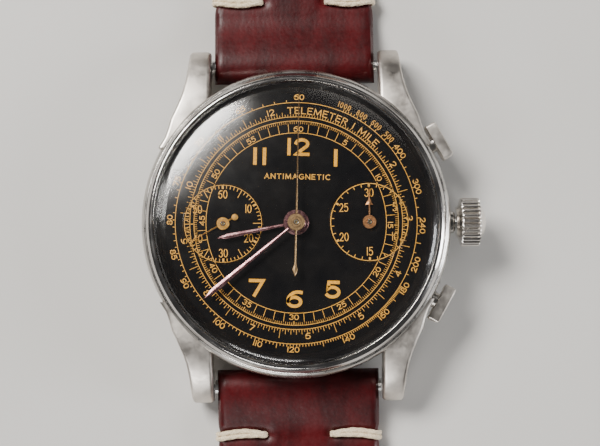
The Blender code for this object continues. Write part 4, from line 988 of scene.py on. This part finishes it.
def eased(table, at):
    """A smooth value between the rows (position, value) of a table."""
    if at <= table[0][0]:
        return table[0][1]
    for (a, first), (b, second) in zip(table, table[1:]):
        if at <= b:
            t = (at - a) / (b - a)
            t = t * t * (3 - 2 * t)
            return first + (second - first) * t
    return table[-1][1]


def bell(distance, width):
    """1 at no distance, and falling off smoothly over this width."""
    return exp(-((distance / width) ** 2))


def strap_mesh(stations, low_at, high_at, half_at, side):
    """Leather lofted outwards from the loop. The stitches pinch it and it is a little uneven all over."""
    across, rounding, crowned = 44, 7, 0.12
    rings = []
    for y in stations:
        low, high, half = low_at(y), high_at(y), half_at(y)
        past = y - STITCH_AT[side]
        pinch = bell(past, 0.75)
        half += 0.09 * noise.noise(Vector((0, y * 0.11, 3 * side))) - 0.22 * pinch
        edge = min(0.75, (high - low) * 0.48, half * 0.9)
        top = []
        for k in range(across + 1):
            u = 2 * k / across - 1
            x = u * (half - edge)
            sink = 0.18 * pinch * eased([(2.6, 0.0), (3.8, 1.0)], abs(x))
            sink += 0.34 * bell(hypot(abs(x) - STITCH_X, past), 0.55)
            swell = 0.1 * bell(past - 2.2, 1.6) + 0.07 * bell(past + 2.0, 1.4)
            ripple = 0.05 * noise.noise(Vector((x * 0.22, y * 0.13, 7 * side)))
            top.append((x, high - crowned * u * u - sink + swell * (0.4 + 0.6 * abs(u)) + ripple))
        right = []
        for k in range(rounding + 1):
            a = pi / 2 - pi * k / rounding
            right.append((half - edge + edge * cos(a), (low + high) / 2 + ((high - low) / 2 - 0.1) * sin(a)))
        bottom = [((1 - 2 * k / across) * (half - edge), low + 0.06) for k in range(across + 1)]
        left = [(-x, z) for x, z in right[::-1]]
        outline = top + right[1:-1] + bottom + left[1:-1]
        rings.append([(x, side * y, z) for x, z in outline])
    return loft(rings)


def stitch(side, flank, strand):
    """One strand of a linen tack: out of its hole, over the leather's edge and back underneath."""
    top, under, edge = 2.6, 0.3, STRAP_HALF - 0.08
    corners = [
        (STITCH_X, top - 1.0),
        (STITCH_X - 0.1, top + 0.12),
        (STITCH_X + 1.4, top + 0.2),
        (edge - 0.6, top + 0.08),
        (edge + 0.14, top - 0.7),
        (edge + 0.14, under + 0.7),
        (edge - 0.7, under + 0.16),
        (STITCH_X + 0.6, under + 0.2),
        (STITCH_X, under + 0.8),
    ]
    points = []
    for x, z in divided(softened(corners, 0.9, 6, closed=False), 0.16):
        share = min(1.0, max(0.0, (x - STITCH_X) / (edge - STITCH_X)))
        bowed = 0.3 * sin(pi * share) - 0.25 * share
        apart = strand * THREAD_GAP * min(1.0, 0.35 + 1.6 * share)
        points.append((flank * x, side * (STITCH_AT[side] - bowed + apart), z))
    plies = []  # three of them, twisted together
    for k, (x, y) in enumerate(ring_points(THREAD_R, 18)):
        swell = 0.86 + 0.2 * abs(cos(pi * k / 6))
        plies.append((x * swell, y * swell))
    return swept(points, plies, up=Vector((0, 1, 0)), twist=0.3)


def spaced(start, end, step):
    count = max(2, int((end - start) / step))
    return [start + (end - start) * k / count for k in range(count + 1)]


def loop_stations():
    """Close together, round the spring bar and as far as the stitches."""
    return [BAR_Y - 2.08 * cos(pi / 2 * k / 12) for k in range(13)] + spaced(BAR_Y + 0.3, 28.5, 0.22)


def half_round(radius, past):
    """Half the thickness of a rounded end at this distance from its centre."""
    return sqrt(max(0.02, radius**2 - past**2))


def make_strap_buckle_side():
    """The short half. It rises to lie under both keepers and ends in a loop round the buckle's bar."""
    end_r = 1.75

    def low_at(y):
        if y < BAR_Y:
            return BAR_Z - half_round(LOOP_R, BAR_Y - y)
        if y > BUCKLE_Y:
            return BUCKLE_Z - half_round(end_r, y - BUCKLE_Y)
        if y > 90:
            return eased([(90, 1.0), (BUCKLE_Y, BUCKLE_Z - end_r)], y)
        return eased([(BAR_Y, 0.2), (25.5, 0.0), (50, 0.0), (62, 1.0)], y)

    def high_at(y):
        if y < BAR_Y:
            return BAR_Z + half_round(LOOP_R, BAR_Y - y)
        if y > BUCKLE_Y:
            return BUCKLE_Z + half_round(end_r, y - BUCKLE_Y)
        if y > 90:
            return eased([(90, 2.9), (BUCKLE_Y, BUCKLE_Z + end_r)], y)
        return eased([(BAR_Y, 4.4), (26, 2.5), (50, LEATHER), (62, 3.3), (86, 2.95), (90, 2.9)], y)

    def half_at(y):
        return eased([(32, STRAP_HALF), (86, STRAP_END_HALF)], y)

    stations = loop_stations() + spaced(29, 92, 0.6)[:-1] + spaced(92, BUCKLE_Y, 0.3)
    stations += [BUCKLE_Y + end_r * sin(pi / 2 * k / 9) * 0.998 for k in range(1, 10)]
    body, node = strap_mesh(stations, low_at, high_at, half_at, 1), "strap_buckle_side"
    obj = solid("strap_leather_buckle_side", *body, BURGUNDY, node, (node,), "burgundy_leather")
    slot = softened([(-1.7, 92.1), (1.7, 92.1), (1.7, 99), (-1.7, 99)], 1.2, 5)
    cut_from(obj, solid("slot", *loft([[(x, y, z) for x, y in slot] for z in (-2, 7)]), BURGUNDY))


def make_strap_tip_side():
    """The long half, with a round tip and seven holes."""
    round_r = 8.3
    round_y = TIP_Y - round_r

    def low_at(y):
        if y < BAR_Y:
            return BAR_Z - half_round(LOOP_R, BAR_Y - y)
        return eased([(BAR_Y, 0.2), (25.5, 0.03)], y)

    def high_at(y):
        if y < BAR_Y:
            return BAR_Z + half_round(LOOP_R, BAR_Y - y)
        return eased([(BAR_Y, 4.4), (26, 2.5), (60, LEATHER), (112, 1.9), (TIP_Y, 1.7)], y)

    def half_at(y):
        half = eased([(32, STRAP_HALF), (112, STRAP_END_HALF)], y)
        return min(half, half_round(round_r, y - round_y)) if y > round_y else half

    stations = loop_stations() + spaced(29, round_y, 0.6)
    stations += [round_y + round_r * sin(pi / 2 * k / 16) * 0.9995 for k in range(1, 17)]
    body, node = strap_mesh(stations, low_at, high_at, half_at, -1), "strap_tip_side"
    obj = solid("strap_leather_tip_side", *body, BURGUNDY, node, (node,), "burgundy_leather")
    punch = lathe_mesh([(0, -2), (0.85, -2), (0.85, 5), (0, 5)], 28, closed=False)
    rows = [-TIP_Y + FIRST_HOLE + HOLE_STEP * k for k in range(7)]
    punches = joined(*(moved(punch, Matrix.Translation((0, y, 0))) for y in rows))
    cut_from(obj, solid("punches", *punches, BURGUNDY))


def make_keeper(name, y, inner_half, body):
    """A band of leather round the strap at this distance from the watch's centre."""
    skin, high, half_length = 0.85, 6.4, 2.45
    half = inner_half + skin / 2
    corners = [(-half, skin / 2), (half, skin / 2), (half, high - skin / 2), (-half, high - skin / 2)]
    path = [(x, y, z) for x, z in divided(softened(corners, 1.15, 8), 0.7, closed=True)]
    section = divided(softened(rectangle(skin / 2, half_length), 0.3), 0.6, closed=True)
    band = swept(path, section, up=Vector((0, 1, 0)), closed=True)
    solid(name + "_leather", *band, BURGUNDY, body, (name,), "burgundy_leather")


def make_buckle():
    """A bent wire frame whose far end lies lower, the bar, and the tang that turns on the bar."""
    far = BUCKLE_LENGTH - BUCKLE_WIRE
    fall = -asin((BUCKLE_Z - BUCKLE_WIRE - 0.03) / far)
    place = Matrix.Translation(Vector((0, BUCKLE_Y, BUCKLE_Z)))
    tilt = place @ Matrix.Rotation(fall, 4, "X")
    corner = 2.6
    sides = [-1.1 + 0.25 * k for k in range(4)] + spaced(0, far - corner, 0.8)
    half_path = [(BUCKLE_HALF, y) for y in sides]
    half_path += bow(BUCKLE_HALF - corner, far - corner, corner, corner, 6, 90, 12)
    path = [(x, y, 0) for x, y in half_path] + [(-x, y, 0) for x, y in half_path[::-1]]

    def ends(t):
        near = min(t, 1 - t) / 0.035
        return 1.0 if near >= 1 else 0.45 + 0.55 * (1 - (1 - near) ** 2) ** 0.5

    wire = moved(swept(path, ring_points(BUCKLE_WIRE, 22), scale=ends), tilt)
    solid("buckle_frame_bent", *wire, BUCKLE_STEEL, "buckle", ("buckle_frame",), "polished_steel")

    bar_half, pin = BUCKLE_HALF - BUCKLE_WIRE - 0.12, BUCKLE_HALF + 0.7
    profile = [(0, pin), (0.3, pin), (0.4, pin - 0.1), (0.4, bar_half), (0.7, bar_half)]
    profile += [(r, -x) for r, x in profile[::-1]]
    bar = moved(lathe_mesh(profile, 40, closed=False), place @ TO_X)
    solid("buckle_bar_turned", *bar, BUCKLE_STEEL, "buckle", ("buckle_bar",), "plain_steel")

    rest = Matrix.Rotation(fall, 4, "X") @ Vector((0, far, BUCKLE_WIRE))
    loop = [(0, 1.03 * cos(radians(a)), 1.03 * sin(radians(a))) for a in range(105, 371, 14)]
    reach = [(2.4, 0.36), (4.5, 0.7), (6.6, 0.88), (rest.y - 0.8, rest.z + 0.52)]
    reach += [(rest.y + 0.82, rest.z + 0.36)]
    straight = [(0, y, z) for y, z in softened(reach, 1.6, 5, closed=False)]
    tongue = softened(rectangle(0.34, 0.75), 0.26)

    def slim(t):
        return 1.0 if t < 0.9 else 1.0 - 0.35 * ((t - 0.9) / 0.1) ** 2

    tang = moved(swept([*loop, *straight], tongue, up=Vector((1, 0, 0)), scale=slim), place)
    solid("buckle_tang_bent", *tang, BUCKLE_STEEL, "buckle_tang", ("buckle_tang",), "polished_steel")


make_strap_buckle_side()
make_strap_tip_side()
for along, half_body in ((1, "strap_buckle_side"), (-1, "strap_tip_side")):
    tacks = joined(*(stitch(along, flank, strand) for flank in (1, -1) for strand in (-1, 1)))
    solid("stitches_" + half_body, *tacks, THREAD, half_body, slot="burgundy_leather")
make_keeper("fixed_keeper", 87.2, 8.3, "strap_buckle_side")
make_keeper("floating_keeper", 76.0, 9.0, "floating_keeper")
make_buckle()


# ---------------------------------------------------------------- pieces kept from the CAD


def finish_movement():
    """Gives each CAD node that still shows its own worked material."""
    plate_gold = (0.8, 0.62, 0.34)
    finishes = {
        "plain_steel": steel("movement_steel", (0.6, 0.6, 0.6), 0.24, 0.2),
        "spring_steel": steel("blued_spring", (0.12, 0.14, 0.22), 0.24, 0.2),
        "polished_steel": BUCKLE_STEEL,
        "gilt_brass": gilt("wheel_brass", (0.86, 0.64, 0.28), 0.26, "turned"),
        "rose_gilt": HAND_COPPER,
        "plates": gilt("plate_brass", plate_gold, 0.3, "spots"),
        "bridges": gilt("bridge_brass", plate_gold, 0.3, "stripes"),
    }
    slot_of = {entry["node"]: entry["material_slot"] for entry in frame["record"]["subparts"]}
    for name, node in frame["nodes"].items():
        kind = slot_of[name]
        if name in ("main_plate", "movement_ring"):
            kind = "plates"
        elif "bridge" in name or "cock" in name:
            kind = "bridges"
        if kind in finishes:
            for slot in node.material_slots:
                slot.material = finishes[kind]


finish_movement()


# ---------------------------------------------------------------- stage


def make_floor():
    half, height = 2600.0, -0.05
    corners = [(x, y, height) for x, y in rectangle(half, half)]
    piece("floor", corners, [[0, 1, 2, 3]], FLOOR)


def area_light(name, at, size, power, colour):
    """A soft box that faces the watch."""
    data = bpy.data.lights.new(name, "AREA")
    data.shape = "RECTANGLE"
    data.size, data.size_y = (s * MM for s in size)
    data.energy = power
    data.color = colour
    lamp = bpy.data.objects.new(name, data)
    lamp.location = Vector(at) * MM
    lamp.rotation_euler = (Vector((0, 0, 5)) - Vector(at)).to_track_quat("-Z", "Y").to_euler()
    bpy.context.scene.collection.objects.link(lamp)


def make_lights():
    world = bpy.data.worlds.new("studio")
    world.use_nodes = True
    sky = world.node_tree.nodes["Background"].inputs
    sky["Color"].default_value = (0.6, 0.6, 0.62, 1)
    sky["Strength"].default_value = 0.09
    bpy.context.scene.world = world
    area_light("key", (-262, 250, 415), (260, 180), 6.0, (1.0, 0.97, 0.93))
    area_light("back", (170, 325, 445), (280, 110), 0.1, (1.0, 0.95, 0.9))
    area_light("fill", (440, -50, 130), (120, 260), 1.8, (0.97, 0.98, 1.0))
    area_light("front", (-120, -460, 260), (260, 120), 1.3, (1.0, 0.98, 0.96))


CAMERA_DISTANCE, CAMERA_TILT, CAMERA_ROLL, LENS = 175.0, 3.5, -0.7, 88.9


def make_camera():
    data = bpy.data.cameras.new("camera")
    data.lens = LENS
    data.sensor_width = 36
    data.clip_start, data.clip_end = 0.01, 10
    camera = bpy.data.objects.new("camera", data)
    aim = Vector((0.45, -0.1, 9.0))
    tilt, roll = radians(CAMERA_TILT), radians(CAMERA_ROLL)
    away = Vector((sin(roll) * sin(tilt), -cos(roll) * sin(tilt), cos(tilt)))
    camera.location = (aim + CAMERA_DISTANCE * away) * MM
    camera.rotation_euler = (tilt, 0, roll)
    bpy.context.scene.collection.objects.link(camera)
    bpy.context.scene.camera = camera


make_floor()
make_lights()
make_camera()
